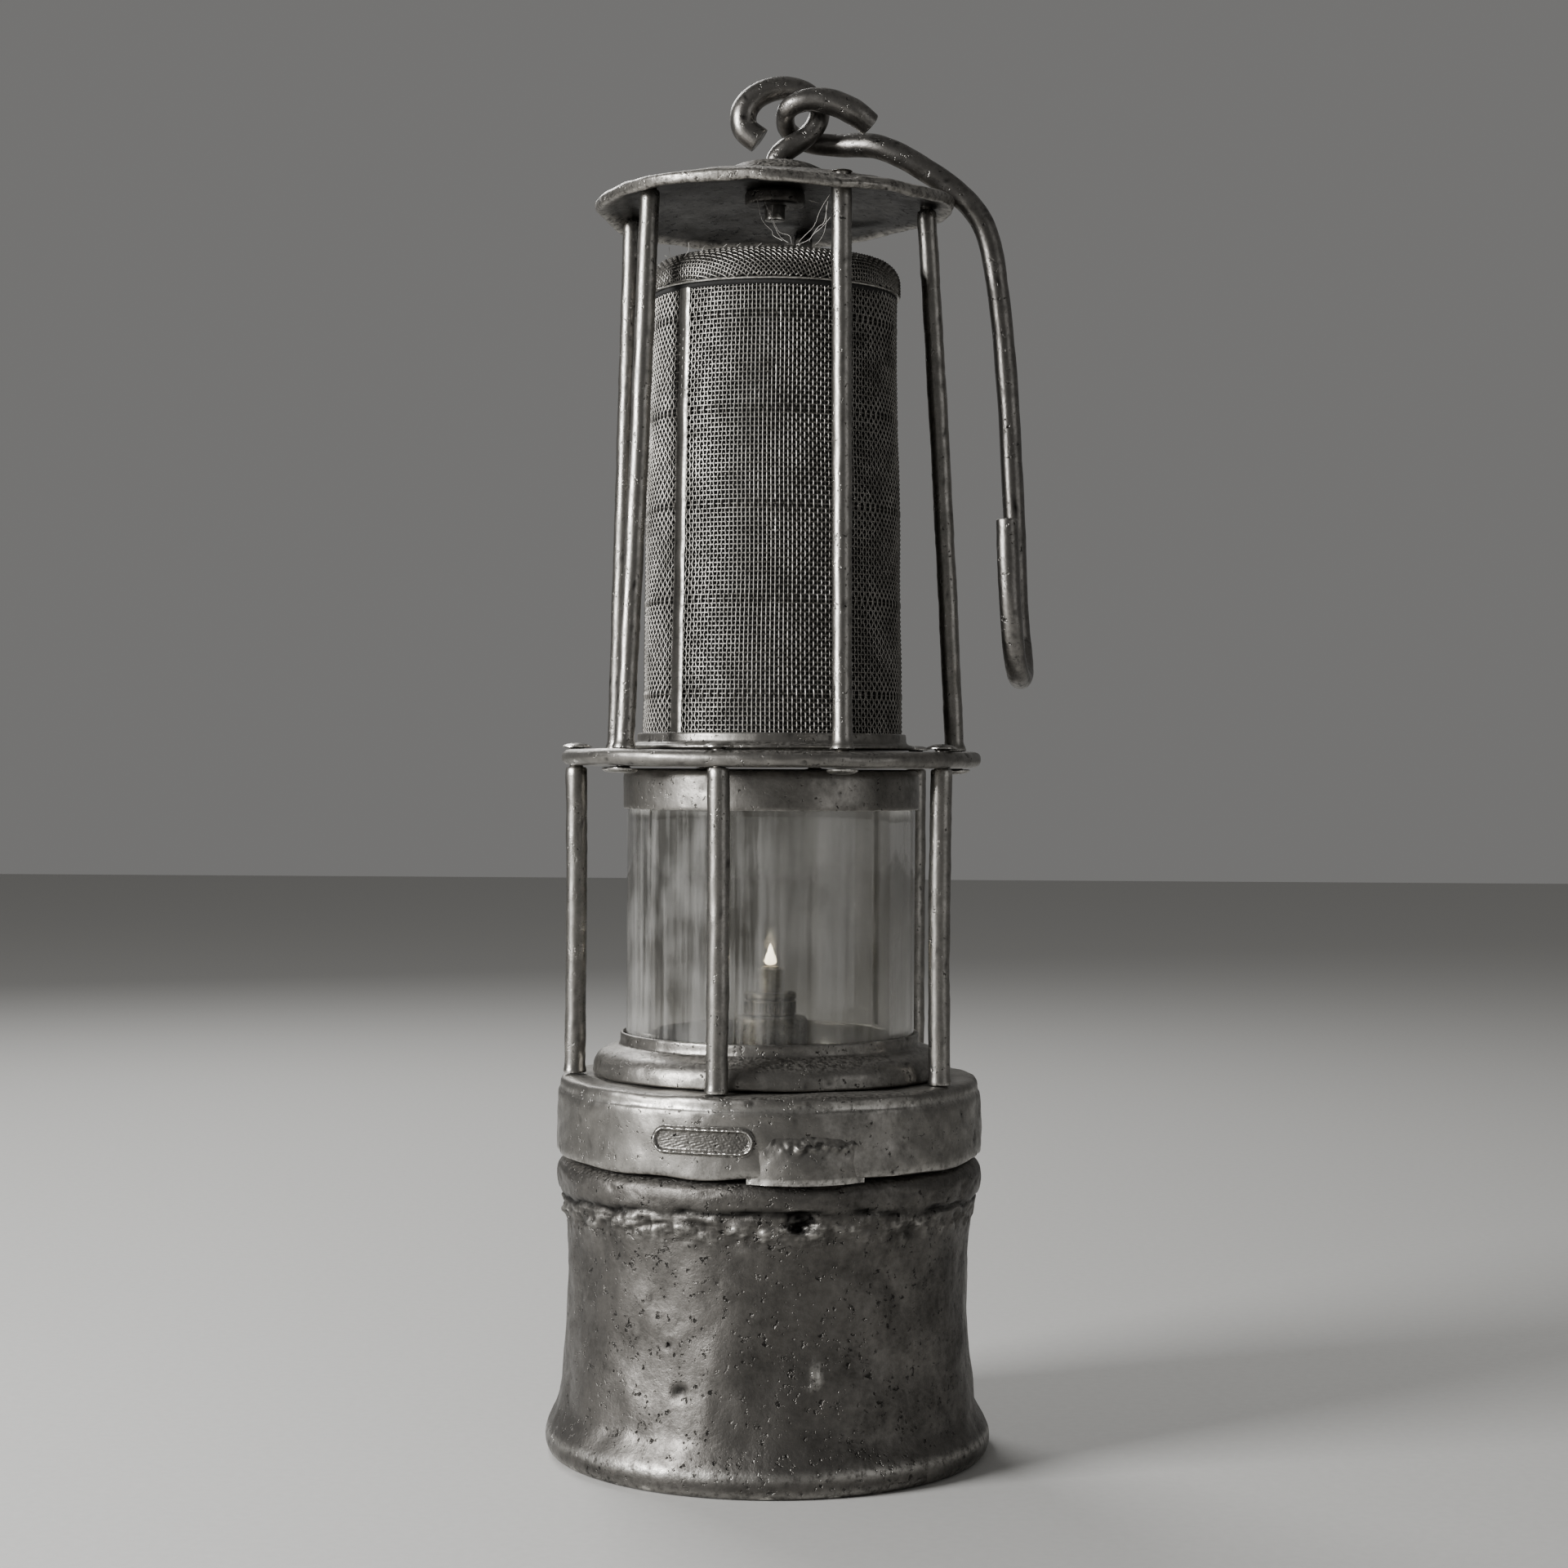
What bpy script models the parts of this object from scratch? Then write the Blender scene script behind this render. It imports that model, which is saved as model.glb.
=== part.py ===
"""Miner's flame safety lamp: oil vessel, glass and gauze cage, swivel eye and carrying hook.

Metres, +Z up. The lamp's axis is Z, and the foot stands on z = 0. The lamp's front faces -Y.
Each named object is one physical piece. Pieces that meet keep a gap of GAP.
"""

import math

import bmesh
import bpy
from mathutils import Matrix, Vector

MM = 0.001
GAP = 0.3 * MM

# Oil vessel
FOOT_R = 46.2 * MM
BULGE_R = 44.1 * MM
WAIST_R = 41.5 * MM
VESSEL_WALL = 1.8 * MM
FOOT_BORE_R = 42.6 * MM
BASE_THICK = 2.0 * MM
SHOULDER_Z = 61.0 * MM
NECK_R = 38.9 * MM
NECK_BORE_R = 36.2 * MM
NECK_TOP_Z = 72.2 * MM
DECK_Z = 66.0 * MM
DECK_THICK = 2.0 * MM

# Wick adjuster, off the axis so that it misses the wick
KEY_X = -17.0 * MM
KEY_WELL_R = 9.5 * MM
KEY_WELL_TOP = 12.0 * MM
SPINDLE_R = 1.7 * MM
SPINDLE_TOP = 56.0 * MM

# Burner
BURNER_STEP_R = 7.7 * MM
BURNER_STEP_TOP = 90.0 * MM
BURNER_CAP_R = 5.45 * MM
BURNER_CAP_TOP = 95.0 * MM
WICK_TUBE_R = 2.85 * MM
WICK_TUBE_BORE_R = 2.4 * MM
WICK_TUBE_TOP = 99.8 * MM
WICK_R = 2.0 * MM

# Filler plug on the deck
FILLER_X = 17.0 * MM
FILLER_Y = 12.5 * MM
FILLER_R = 4.6 * MM

# Collar and lock
COLLAR_BOTTOM = 61.8 * MM
COLLAR_TOP = 77.7 * MM
COLLAR_R = 44.3 * MM
COLLAR_TOP_R = 43.9 * MM
COLLAR_BORE_R = 39.3 * MM
COLLAR_FLANGE_Z = 73.9 * MM
COLLAR_HOLE_R = 30.6 * MM
PLATE_ANGLE = math.radians(-107.0)
PLATE_HALF_W = 10.6 * MM
PLATE_HALF_H = 2.85 * MM
PLATE_Z = 69.1 * MM
LOCK_ANGLE = math.radians(-80.0)
LOCK_HALF_ANGLE = math.radians(11.5)
LOCK_PROUD = 2.2 * MM
LOCK_BOTTOM = 61.3 * MM
LOCK_TOP = 70.4 * MM
LOCK_BOLT_R = 1.4 * MM
LOCK_BOLT_AT_R = 42.3 * MM
LOCK_BOLT_BOTTOM = 63.7 * MM
LOCK_BOLT_TOP = 70.3 * MM
LOCK_NOTCH_DEEP = 2.2 * MM

# Glass and its rings
SEAT_R = 36.8 * MM
SEAT_RIM_R = 31.1 * MM
SEAT_TOP = 86.7 * MM
GLASS_R = 30.0 * MM
GLASS_WALL = 5.0 * MM
GLASS_BOTTOM = 80.6 * MM
GLASS_TOP = 137.2 * MM
GLASS_RING_R = 30.8 * MM
GLASS_RING_BOTTOM = 133.0 * MM
GLASS_RING_TOP = 141.3 * MM
GASKET_THICK = 1.2 * MM

# Middle ring and pillars
MIDDLE_BOTTOM = 141.7 * MM
MIDDLE_TOP = 145.0 * MM
MIDDLE_R = 43.6 * MM
MIDDLE_HOLE_R = 24.6 * MM
PILLARS = 5
LOWER_PILLAR_R = 2.2 * MM
LOWER_PILLAR_AT_R = 40.6 * MM
LOWER_DEGREES = tuple(-104.5 + 360 / PILLARS * i for i in range(PILLARS))
UPPER_PILLAR_R = 2.0 * MM
UPPER_PILLAR_FOOT_R = 38.7 * MM
UPPER_PILLAR_HEAD_R = 31.4 * MM
UPPER_FOOT_DEGREES = (-68.5, 3.5, 75.5, 151.0, 219.5)
UPPER_HEAD_DEGREES = (-65.0, 1.0, 79.0, 160.0, 217.0)
TENON_R = 1.3 * MM

# Gauze
GAUZE_FOOT_R = 27.1 * MM
GAUZE_HEAD_R = 25.2 * MM
GAUZE_THICK = 0.9 * MM
GAUZE_RING_R = 29.8 * MM
GAUZE_RING_TOP = 148.6 * MM
CAP_HEM_Z = 239.2 * MM
CAP_R = 26.3 * MM
CAP_TOP = 249.3 * MM

# Top plate and swivel
PLATE_R = 37.5 * MM
PLATE_RIM_Z = 258.9 * MM
PLATE_CROWN_Z = 264.0 * MM
PLATE_THICK = 2.2 * MM
BOSS_R = 12.25 * MM
BOSS_TOP = 267.8 * MM
EYE_ROD_R = 2.1 * MM
STEM_BOTTOM = 255.6 * MM
NUT_R = 6.3 * MM

# Hook
HOOK_ROD_R = 2.15 * MM
HOOK_PIVOT = Vector((2.2, 0.0, 276.8)) * MM

TURN = 2 * math.pi
BIG_STEPS = 40
MID_STEPS = 28
SMALL_STEPS = 16
PILLAR_STEPS = 10

# Colour (linear), roughness and metallic value of each finish
FINISHES = {
    "dark_iron": ((0.045, 0.042, 0.040), 0.55, 0.9),
    "worn_steel": ((0.28, 0.27, 0.26), 0.42, 1.0),
    "hook_steel": ((0.17, 0.165, 0.16), 0.38, 1.0),
    "old_brass": ((0.22, 0.17, 0.10), 0.40, 1.0),
    "gauze_wire": ((0.11, 0.105, 0.10), 0.5, 1.0),
    "cloudy_glass": ((0.80, 0.82, 0.80), 0.08, 0.0),
    "cotton": ((0.62, 0.58, 0.50), 0.95, 0.0),
    "leather": ((0.10, 0.07, 0.05), 0.8, 0.0),
}


def material(finish):
    """The one material of a finish, made the first time it is asked for."""
    found = bpy.data.materials.get(finish)
    if found:
        return found
    colour, roughness, metallic = FINISHES[finish]
    made = bpy.data.materials.new(finish)
    made.use_nodes = True
    shader = made.node_tree.nodes["Principled BSDF"]
    shader.inputs["Base Color"].default_value = (*colour, 1.0)
    shader.inputs["Roughness"].default_value = roughness
    shader.inputs["Metallic"].default_value = metallic
    return made


def new_object(name, mesh, finish):
    """Puts a mesh in the scene as a piece, with its own copy of the finish."""
    piece = bpy.data.objects.new(name, mesh)
    bpy.context.scene.collection.objects.link(piece)
    own = material(finish).copy()
    own.name = f"{name}_{finish}"
    mesh.materials.append(own)
    return piece


def from_bmesh(name, shape, finish, origin=(0, 0, 0)):
    """Turns a bmesh into a smooth-shaded piece whose origin is at the given point."""
    bmesh.ops.recalc_face_normals(shape, faces=shape.faces)
    bmesh.ops.translate(shape, verts=shape.verts, vec=-Vector(origin))
    mesh = bpy.data.meshes.new(name)
    shape.to_mesh(mesh)
    shape.free()
    mesh.shade_smooth()
    mesh.set_sharp_from_angle(angle=math.radians(35))
    piece = new_object(name, mesh, finish)
    piece.location = origin
    return piece


def arc(centre, radius, start_deg, end_deg, points):
    """Points along an arc in the (r, z) plane."""
    steps = [start_deg + (end_deg - start_deg) * i / (points - 1) for i in range(points)]
    return [
        (
            centre[0] + radius * math.cos(math.radians(step)),
            centre[1] + radius * math.sin(math.radians(step)),
        )
        for step in steps
    ]


def turned(name, outline, finish, steps=MID_STEPS, at=(0, 0), origin=None):
    """A turned piece. The closed outline holds (r, z) points; r = 0 points lie on the axis."""
    shape = bmesh.new()
    rings = []
    for radius, z in outline:
        if radius < 1e-6:
            rings.append([shape.verts.new((at[0], at[1], z))])
            continue
        ring = []
        for step in range(steps):
            angle = TURN * step / steps
            ring.append(
                shape.verts.new(
                    (at[0] + radius * math.cos(angle), at[1] + radius * math.sin(angle), z)
                )
            )
        rings.append(ring)
    for first, second in zip(rings, rings[1:] + rings[:1]):
        if len(first) == 1 and len(second) == 1:
            continue
        for step in range(steps):
            after = (step + 1) % steps
            corners = [first[step % len(first)], first[after % len(first)]]
            corners += [second[after % len(second)], second[step % len(second)]]
            unique = list(dict.fromkeys(corners))
            shape.faces.new(unique)
    return from_bmesh(name, shape, finish, origin or (at[0], at[1], 0))


def tube_outline(outer, inner, bottom, top, chamfer=0.0):
    """The outline of a plain ring or tube, its outer corners cut back by the chamfer."""
    return [
        (inner, bottom),
        (outer - chamfer, bottom),
        (outer, bottom + chamfer),
        (outer, top - chamfer),
        (outer - chamfer, top),
        (inner, top),
    ] if chamfer else [(inner, bottom), (outer, bottom), (outer, top), (inner, top)]


def disc_outline(radius, bottom, top, chamfer=0.0):
    """The outline of a plain disc or rod."""
    edge = [(radius, bottom), (radius, top)]
    if chamfer:
        edge = [
            (radius - chamfer, bottom),
            (radius, bottom + chamfer),
            (radius, top - chamfer),
            (radius - chamfer, top),
        ]
    return [(0, bottom)] + edge + [(0, top)]


def rod_along(name, points, radius, finish, sides=3, origin=(0, 0, 0)):
    """A round rod with closed ends along the points, as a bevelled poly curve."""
    data = bpy.data.curves.new(name, "CURVE")
    data.dimensions = "3D"
    data.bevel_depth = radius
    data.bevel_resolution = sides
    data.use_fill_caps = True
    spline = data.splines.new("POLY")
    spline.points.add(len(points) - 1)
    for slot, point in zip(spline.points, points):
        slot.co = (*(Vector(point) - Vector(origin)), 1.0)
    piece = bpy.data.objects.new(name, data)
    bpy.context.scene.collection.objects.link(piece)
    own = material(finish).copy()
    own.name = f"{name}_{finish}"
    data.materials.append(own)
    piece.location = origin
    return piece


def smooth_path(knots, per_span):
    """Points of a Catmull-Rom curve through the knots."""
    knots = [Vector(knot) for knot in knots]
    padded = [2 * knots[0] - knots[1]] + knots + [2 * knots[-1] - knots[-2]]
    path = []
    for index in range(1, len(padded) - 2):
        before, start, end, after = padded[index - 1 : index + 3]
        for step in range(per_span):
            t = step / per_span
            path.append(
                0.5
                * (
                    2 * start
                    + (end - before) * t
                    + (2 * before - 5 * start + 4 * end - after) * t * t
                    + (3 * start - before - 3 * end + after) * t ** 3
                )
            )
    path.append(knots[-1])
    return path


def cutter(name, radius, bottom, top, at, steps=SMALL_STEPS):
    """A hidden cylinder that cuts holes."""
    tool = turned(name, disc_outline(radius, bottom, top), "dark_iron", steps, at)
    tool.hide_render = True
    tool.display_type = "WIRE"
    return tool


def boolean(piece, tool, operation="DIFFERENCE"):
    change = piece.modifiers.new(tool.name, "BOOLEAN")
    change.operation = operation
    change.object = tool
    change.solver = "EXACT"
    return piece


def on_circle(angles, radius):
    """(x, y) of points at these angles, in degrees, on a circle."""
    turns = [math.radians(angle) for angle in angles]
    return [(radius * math.cos(turn), radius * math.sin(turn)) for turn in turns]


def make_vessel():
    """The pot: a drawn iron shell with a rolled foot, closed by a base and a deck."""
    outline = [(NECK_BORE_R, NECK_TOP_Z), (NECK_R - 0.5 * MM, NECK_TOP_Z)]
    outline += [(NECK_R, NECK_TOP_Z - 0.5 * MM), (NECK_R, SHOULDER_Z + 1.2 * MM)]
    outline += [(NECK_R + 1.0 * MM, SHOULDER_Z)]
    outline += arc((BULGE_R - 2.8 * MM, SHOULDER_Z - 2.8 * MM), 2.8 * MM, 90, 0, 5)
    outline += [(BULGE_R, 57.0 * MM), (43.7 * MM, 54.5 * MM), (42.7 * MM, 51.5 * MM)]
    outline += [(42.0 * MM, 48.0 * MM), (41.6 * MM, 44.0 * MM), (WAIST_R, 38.0 * MM), (41.7 * MM, 29.0 * MM), (42.2 * MM, 20.6 * MM)]
    outline += [(43.4 * MM, 9.7 * MM), (45.4 * MM, 6.2 * MM)]
    outline += [(FOOT_R, 4.2 * MM), (FOOT_R, 2.2 * MM), (45.5 * MM, 0.6 * MM), (44.6 * MM, 0)]
    inner = WAIST_R - VESSEL_WALL
    outline += [(FOOT_BORE_R, 0), (FOOT_BORE_R, BASE_THICK + GAP)]
    outline += [(inner - 1.2 * MM, BASE_THICK + GAP), (inner, 6.0 * MM), (inner, 50.0 * MM)]
    outline += [(NECK_BORE_R, 55.0 * MM)]
    shell = turned("vessel_shell", outline, "dark_iron", BIG_STEPS)
    at = (LOCK_BOLT_AT_R * math.cos(LOCK_ANGLE), LOCK_BOLT_AT_R * math.sin(LOCK_ANGLE))
    notch = cutter(
        "cut_lock_notch",
        LOCK_BOLT_R + 0.2 * MM,
        SHOULDER_Z - LOCK_NOTCH_DEEP,
        SHOULDER_Z + 6 * MM,
        at,
        12,
    )
    boolean(shell, notch)

    base = turned(
        "vessel_base",
        disc_outline(FOOT_BORE_R - GAP, 0, BASE_THICK),
        "dark_iron",
        BIG_STEPS,
    )
    boolean(base, cutter("cut_well", KEY_WELL_R - 1.0 * MM, -MM, 5 * MM, (KEY_X, 0)))
    cup = [(KEY_WELL_R - 1.2 * MM, 0.4 * MM), (KEY_WELL_R, 0.4 * MM)]
    cup += [(KEY_WELL_R, KEY_WELL_TOP), (SPINDLE_R + GAP, KEY_WELL_TOP)]
    cup += [(SPINDLE_R + GAP, KEY_WELL_TOP - 1.5 * MM)]
    cup += [(KEY_WELL_R - 1.2 * MM, KEY_WELL_TOP - 1.5 * MM)]
    well = turned("well_cup", cup, "dark_iron", SMALL_STEPS, (KEY_X, 0))
    well.hide_render = True
    well.display_type = "WIRE"
    boolean(base, well, "UNION")

    deck = turned(
        "vessel_deck",
        tube_outline(NECK_BORE_R - GAP, 9.0 * MM, DECK_Z, DECK_Z + DECK_THICK),
        "old_brass",
        MID_STEPS,
    )
    boolean(
        deck,
        cutter(
            "cut_filler",
            FILLER_R + GAP,
            DECK_Z - MM,
            DECK_Z + 2 * DECK_THICK,
            (FILLER_X, FILLER_Y),
        ),
    )
    inner_r = 24.5 * MM
    turned(
        "cotton_wadding",
        tube_outline(inner - 0.8 * MM, inner_r, 14.0 * MM, 48.0 * MM, 2 * MM),
        "cotton",
        MID_STEPS,
    )


def make_burner():
    deck_top = DECK_Z + DECK_THICK
    holder = [(WICK_TUBE_R + GAP, DECK_Z - 3 * MM), (8.7 * MM, DECK_Z - 3 * MM)]
    holder += [(8.7 * MM, deck_top + GAP), (13.0 * MM, deck_top + GAP)]
    holder += [(13.0 * MM, deck_top + 1.8 * MM), (12.2 * MM, deck_top + 2.4 * MM)]
    holder += [(BURNER_STEP_R, deck_top + 4.0 * MM), (BURNER_STEP_R, BURNER_STEP_TOP - 0.5 * MM)]
    holder += [(BURNER_STEP_R - 0.5 * MM, BURNER_STEP_TOP), (WICK_TUBE_R + GAP, BURNER_STEP_TOP)]
    turned("burner_holder", holder, "old_brass", 24)
    bottom = BURNER_STEP_TOP + GAP
    groove = BURNER_CAP_TOP - 1.5 * MM
    cap = [(WICK_TUBE_R + GAP, bottom), (BURNER_CAP_R, bottom), (BURNER_CAP_R, groove - 0.3 * MM)]
    cap += [(BURNER_CAP_R - 0.4 * MM, groove - 0.1 * MM), (BURNER_CAP_R - 0.4 * MM, groove)]
    cap += [(BURNER_CAP_R, groove + 0.2 * MM), (BURNER_CAP_R, BURNER_CAP_TOP - 0.3 * MM)]
    cap += [(BURNER_CAP_R - 0.4 * MM, BURNER_CAP_TOP), (WICK_TUBE_R + GAP, BURNER_CAP_TOP)]
    turned("burner_cap", cap, "old_brass", 24)
    turned(
        "wick_tube",
        tube_outline(WICK_TUBE_R, WICK_TUBE_BORE_R, 61.0 * MM, WICK_TUBE_TOP),
        "old_brass",
        SMALL_STEPS,
    )
    filler_bottom = deck_top + GAP
    washer_top = filler_bottom + 1.2 * MM
    at = (FILLER_X, FILLER_Y)
    turned(
        "filler_washer",
        tube_outline(7.0 * MM, FILLER_R + GAP, filler_bottom, washer_top),
        "leather",
        SMALL_STEPS,
        at,
    )
    plug = [(0, DECK_Z - 2 * MM), (FILLER_R - 0.5 * MM, DECK_Z - 2 * MM)]
    plug += [(FILLER_R, DECK_Z - 1.5 * MM), (FILLER_R, washer_top + GAP)]
    plug += [(7.0 * MM, washer_top + GAP), (7.0 * MM, washer_top + 2.6 * MM)]
    plug += [(6.4 * MM, washer_top + 3.2 * MM), (0, washer_top + 3.2 * MM)]
    filler = turned("filler_plug", plug, "old_brass", SMALL_STEPS, at)
    slot = bmesh.new()
    bmesh.ops.create_cube(slot, size=1.0)
    bmesh.ops.scale(slot, vec=(16 * MM, 1.4 * MM, 2.4 * MM), verts=slot.verts)
    bmesh.ops.translate(slot, vec=(*at, washer_top + 3.2 * MM), verts=slot.verts)
    tool = from_bmesh("cut_plug_slot", slot, "dark_iron")
    tool.hide_render = True
    tool.display_type = "WIRE"
    boolean(filler, tool)


def make_wick_adjuster():
    at = (KEY_X, 0)
    gland_bottom = KEY_WELL_TOP + GAP
    turned(
        "spindle_gland",
        tube_outline(4.2 * MM, SPINDLE_R + GAP, gland_bottom, gland_bottom + 5.0 * MM, 0.6 * MM),
        "old_brass",
        SMALL_STEPS,
        at,
    )
    turned(
        "wick_spindle",
        disc_outline(SPINDLE_R, 7.6 * MM, SPINDLE_TOP, 0.4 * MM),
        "old_brass",
        16,
        at,
    )
    turned(
        "wick_knob",
        disc_outline(6.6 * MM, 1.6 * MM, 7.3 * MM, 0.6 * MM),
        "old_brass",
        24,
        at,
    )
    turned(
        "wick",
        disc_outline(WICK_R, 20.0 * MM, WICK_TUBE_TOP + 0.6 * MM, 0.5 * MM),
        "cotton",
        16,
    )
    bar = bmesh.new()
    bmesh.ops.create_cube(bar, size=1.0)
    bmesh.ops.scale(bar, vec=(27 * MM, 9.0 * MM, 3.2 * MM), verts=bar.verts)
    bmesh.ops.translate(bar, vec=(KEY_X / 2, 0, 36.0 * MM), verts=bar.verts)
    carrier = from_bmesh("wick_carrier", bar, "old_brass")
    boolean(carrier, cutter("cut_carrier_wick", WICK_R + GAP, 30 * MM, 42 * MM, (0, 0), 16))
    boolean(carrier, cutter("cut_carrier_spindle", SPINDLE_R + GAP, 30 * MM, 42 * MM, at, 16))


def curved_plate(name, finish, angle, outline, inner_r, outer_r, bulge):
    """A plate that follows a cylinder. The outline holds (arc length, z) points about its middle;
    its outer face rises by the bulge in the middle."""
    shape = bmesh.new()
    centre_z = sum(z for _, z in outline) / len(outline)

    def ring(radius, share):
        """The outline, shrunk to this share of its size, on a cylinder of this radius."""
        verts = []
        for along, z in outline:
            turn = angle + along * share / inner_r
            height = centre_z + (z - centre_z) * share
            verts.append(
                shape.verts.new((radius * math.cos(turn), radius * math.sin(turn), height))
            )
        return verts

    def join(first, second):
        for i in range(len(outline)):
            after = (i + 1) % len(outline)
            shape.faces.new((first[i], first[after], second[after], second[i]))

    inner, outer = ring(inner_r, 1), ring(outer_r, 1)
    inner_half, outer_half = ring(inner_r, 0.5), ring(outer_r + bulge * 0.75, 0.5)
    join(inner, outer)
    join(outer, outer_half)
    join(inner_half, inner)
    for verts, radius in ((outer_half, outer_r + bulge), (inner_half, inner_r)):
        middle = shape.verts.new((radius * math.cos(angle), radius * math.sin(angle), centre_z))
        for i in range(len(outline)):
            shape.faces.new((verts[i], verts[(i + 1) % len(outline)], middle))
    return from_bmesh(name, shape, finish)


def make_collar():
    outline = [(COLLAR_BORE_R, COLLAR_BOTTOM), (COLLAR_R - 0.7 * MM, COLLAR_BOTTOM)]
    outline += [(COLLAR_R, COLLAR_BOTTOM + 0.7 * MM)]
    outline += [(COLLAR_TOP_R, COLLAR_TOP - 3.2 * MM)]
    outline += [(COLLAR_TOP_R - 0.5 * MM, COLLAR_TOP - 2.6 * MM)]
    outline += [(COLLAR_TOP_R - 0.6 * MM, COLLAR_TOP - 0.8 * MM)]
    outline += [(COLLAR_TOP_R - 1.4 * MM, COLLAR_TOP), (COLLAR_HOLE_R, COLLAR_TOP)]
    outline += [(COLLAR_HOLE_R, COLLAR_FLANGE_Z), (COLLAR_BORE_R, COLLAR_FLANGE_Z)]
    collar = turned("collar_ring", outline, "worn_steel", BIG_STEPS)
    bolt_at = (LOCK_BOLT_AT_R * math.cos(LOCK_ANGLE), LOCK_BOLT_AT_R * math.sin(LOCK_ANGLE))
    bolt_clearance = LOCK_BOLT_R + GAP
    bore = cutter("cut_collar_bolt", bolt_clearance, 60 * MM, 70.6 * MM, bolt_at, 16)
    boolean(collar, bore)

    seal_bottom = NECK_TOP_Z + GAP
    turned(
        "neck_seal",
        tube_outline(NECK_R - 0.4 * MM, 32.0 * MM, seal_bottom, COLLAR_FLANGE_Z - GAP),
        "leather",
        MID_STEPS,
    )

    straight = PLATE_HALF_W - PLATE_HALF_H
    stadium = [(x, PLATE_Z - PLATE_HALF_H) for x in (-straight / 2, 0, straight / 2)]
    stadium += arc((straight, PLATE_Z), PLATE_HALF_H, -90, 90, 8)
    stadium += [(x, PLATE_Z + PLATE_HALF_H) for x in (straight / 2, 0, -straight / 2)]
    stadium += arc((-straight, PLATE_Z), PLATE_HALF_H, 90, 270, 8)
    face_r = COLLAR_R + 0.4 * MM
    curved_plate(
        "number_plate", "worn_steel", PLATE_ANGLE, stadium, face_r, face_r + 0.5 * MM, 0.1 * MM
    )

    half = LOCK_HALF_ANGLE * COLLAR_R
    low, high, soft = LOCK_BOTTOM, LOCK_TOP, 1.4 * MM
    boss = [(-half + soft, low), (half - soft, low), (half, low + soft), (half, high - 2 * soft)]
    boss += [(half - 1.4 * soft, high - 0.4 * soft), (half * 0.35, high)]
    boss += [(-half * 0.35, high), (-half + 1.4 * soft, high - 0.4 * soft)]
    boss += [(-half, high - 2 * soft), (-half, low + soft)]
    curved_plate(
        "lock_housing",
        "worn_steel",
        LOCK_ANGLE,
        boss,
        COLLAR_R + 0.4 * MM,
        COLLAR_R + LOCK_PROUD * 0.6,
        LOCK_PROUD * 0.4,
    )
    turned(
        "lock_bolt",
        disc_outline(LOCK_BOLT_R, LOCK_BOLT_BOTTOM, LOCK_BOLT_TOP, 0.3 * MM),
        "worn_steel",
        16,
        bolt_at,
    )


def make_glass_and_rings():
    low = COLLAR_TOP + GAP
    seat = [(COLLAR_HOLE_R + 0.4 * MM, low), (SEAT_R, low), (SEAT_R, low + 1.0 * MM)]
    seat += [(36.6 * MM, 80.7 * MM), (35.9 * MM, 82.1 * MM), (34.6 * MM, 83.1 * MM)]
    seat += [(32.8 * MM, 83.7 * MM), (SEAT_RIM_R + 0.3 * MM, 84.1 * MM), (SEAT_RIM_R, 84.8 * MM)]
    seat += [(SEAT_RIM_R, SEAT_TOP), (GLASS_R + GAP, SEAT_TOP)]
    seat += [(GLASS_R + GAP, GLASS_BOTTOM - GASKET_THICK - GAP)]
    seat += [(25.2 * MM, GLASS_BOTTOM - GASKET_THICK - GAP), (25.2 * MM, low)]
    turned("glass_seat", seat, "worn_steel", BIG_STEPS)
    bore = GLASS_R - GLASS_WALL
    for name, bottom in (
        ("glass_gasket_lower", GLASS_BOTTOM - GASKET_THICK),
        ("glass_gasket_upper", GLASS_TOP + GAP),
    ):
        turned(
            name,
            tube_outline(GLASS_R, bore + 0.2 * MM, bottom, bottom + GASKET_THICK - GAP),
            "leather",
            MID_STEPS,
        )
    turned(
        "glass",
        tube_outline(GLASS_R, bore, GLASS_BOTTOM, GLASS_TOP, 0.6 * MM),
        "cloudy_glass",
        BIG_STEPS,
    )
    inside = GLASS_R + GAP
    roof = GLASS_TOP + GAP + GASKET_THICK
    ring = [(inside, GLASS_RING_BOTTOM), (GLASS_RING_R, GLASS_RING_BOTTOM)]
    ring += [(GLASS_RING_R, GLASS_RING_TOP - 1.4 * MM)]
    ring += [(GLASS_RING_R - 0.5 * MM, GLASS_RING_TOP - 0.4 * MM)]
    ring += [(GLASS_RING_R - 1.4 * MM, GLASS_RING_TOP), (bore, GLASS_RING_TOP)]
    ring += [(bore, roof), (inside, roof)]
    turned("upper_glass_ring", ring, "worn_steel", BIG_STEPS)

    half = (MIDDLE_TOP - MIDDLE_BOTTOM) / 2
    centre_z = MIDDLE_BOTTOM + half
    middle = [(MIDDLE_HOLE_R, MIDDLE_BOTTOM)]
    middle += arc((MIDDLE_R - half, centre_z), half, -90, 90, 7)
    middle += [(MIDDLE_HOLE_R, MIDDLE_TOP)]
    ring = turned("middle_ring", middle, "worn_steel", BIG_STEPS)
    low, high = MIDDLE_BOTTOM - MM, MIDDLE_TOP + MM
    hole = TENON_R + 0.4 * MM
    lower = on_circle(LOWER_DEGREES, LOWER_PILLAR_AT_R)
    upper = on_circle(UPPER_FOOT_DEGREES, UPPER_PILLAR_FOOT_R)
    for number, place in enumerate(lower + upper, 1):
        boolean(ring, cutter(f"cut_ring_{number}", hole, low, high, place, 8))


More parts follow.
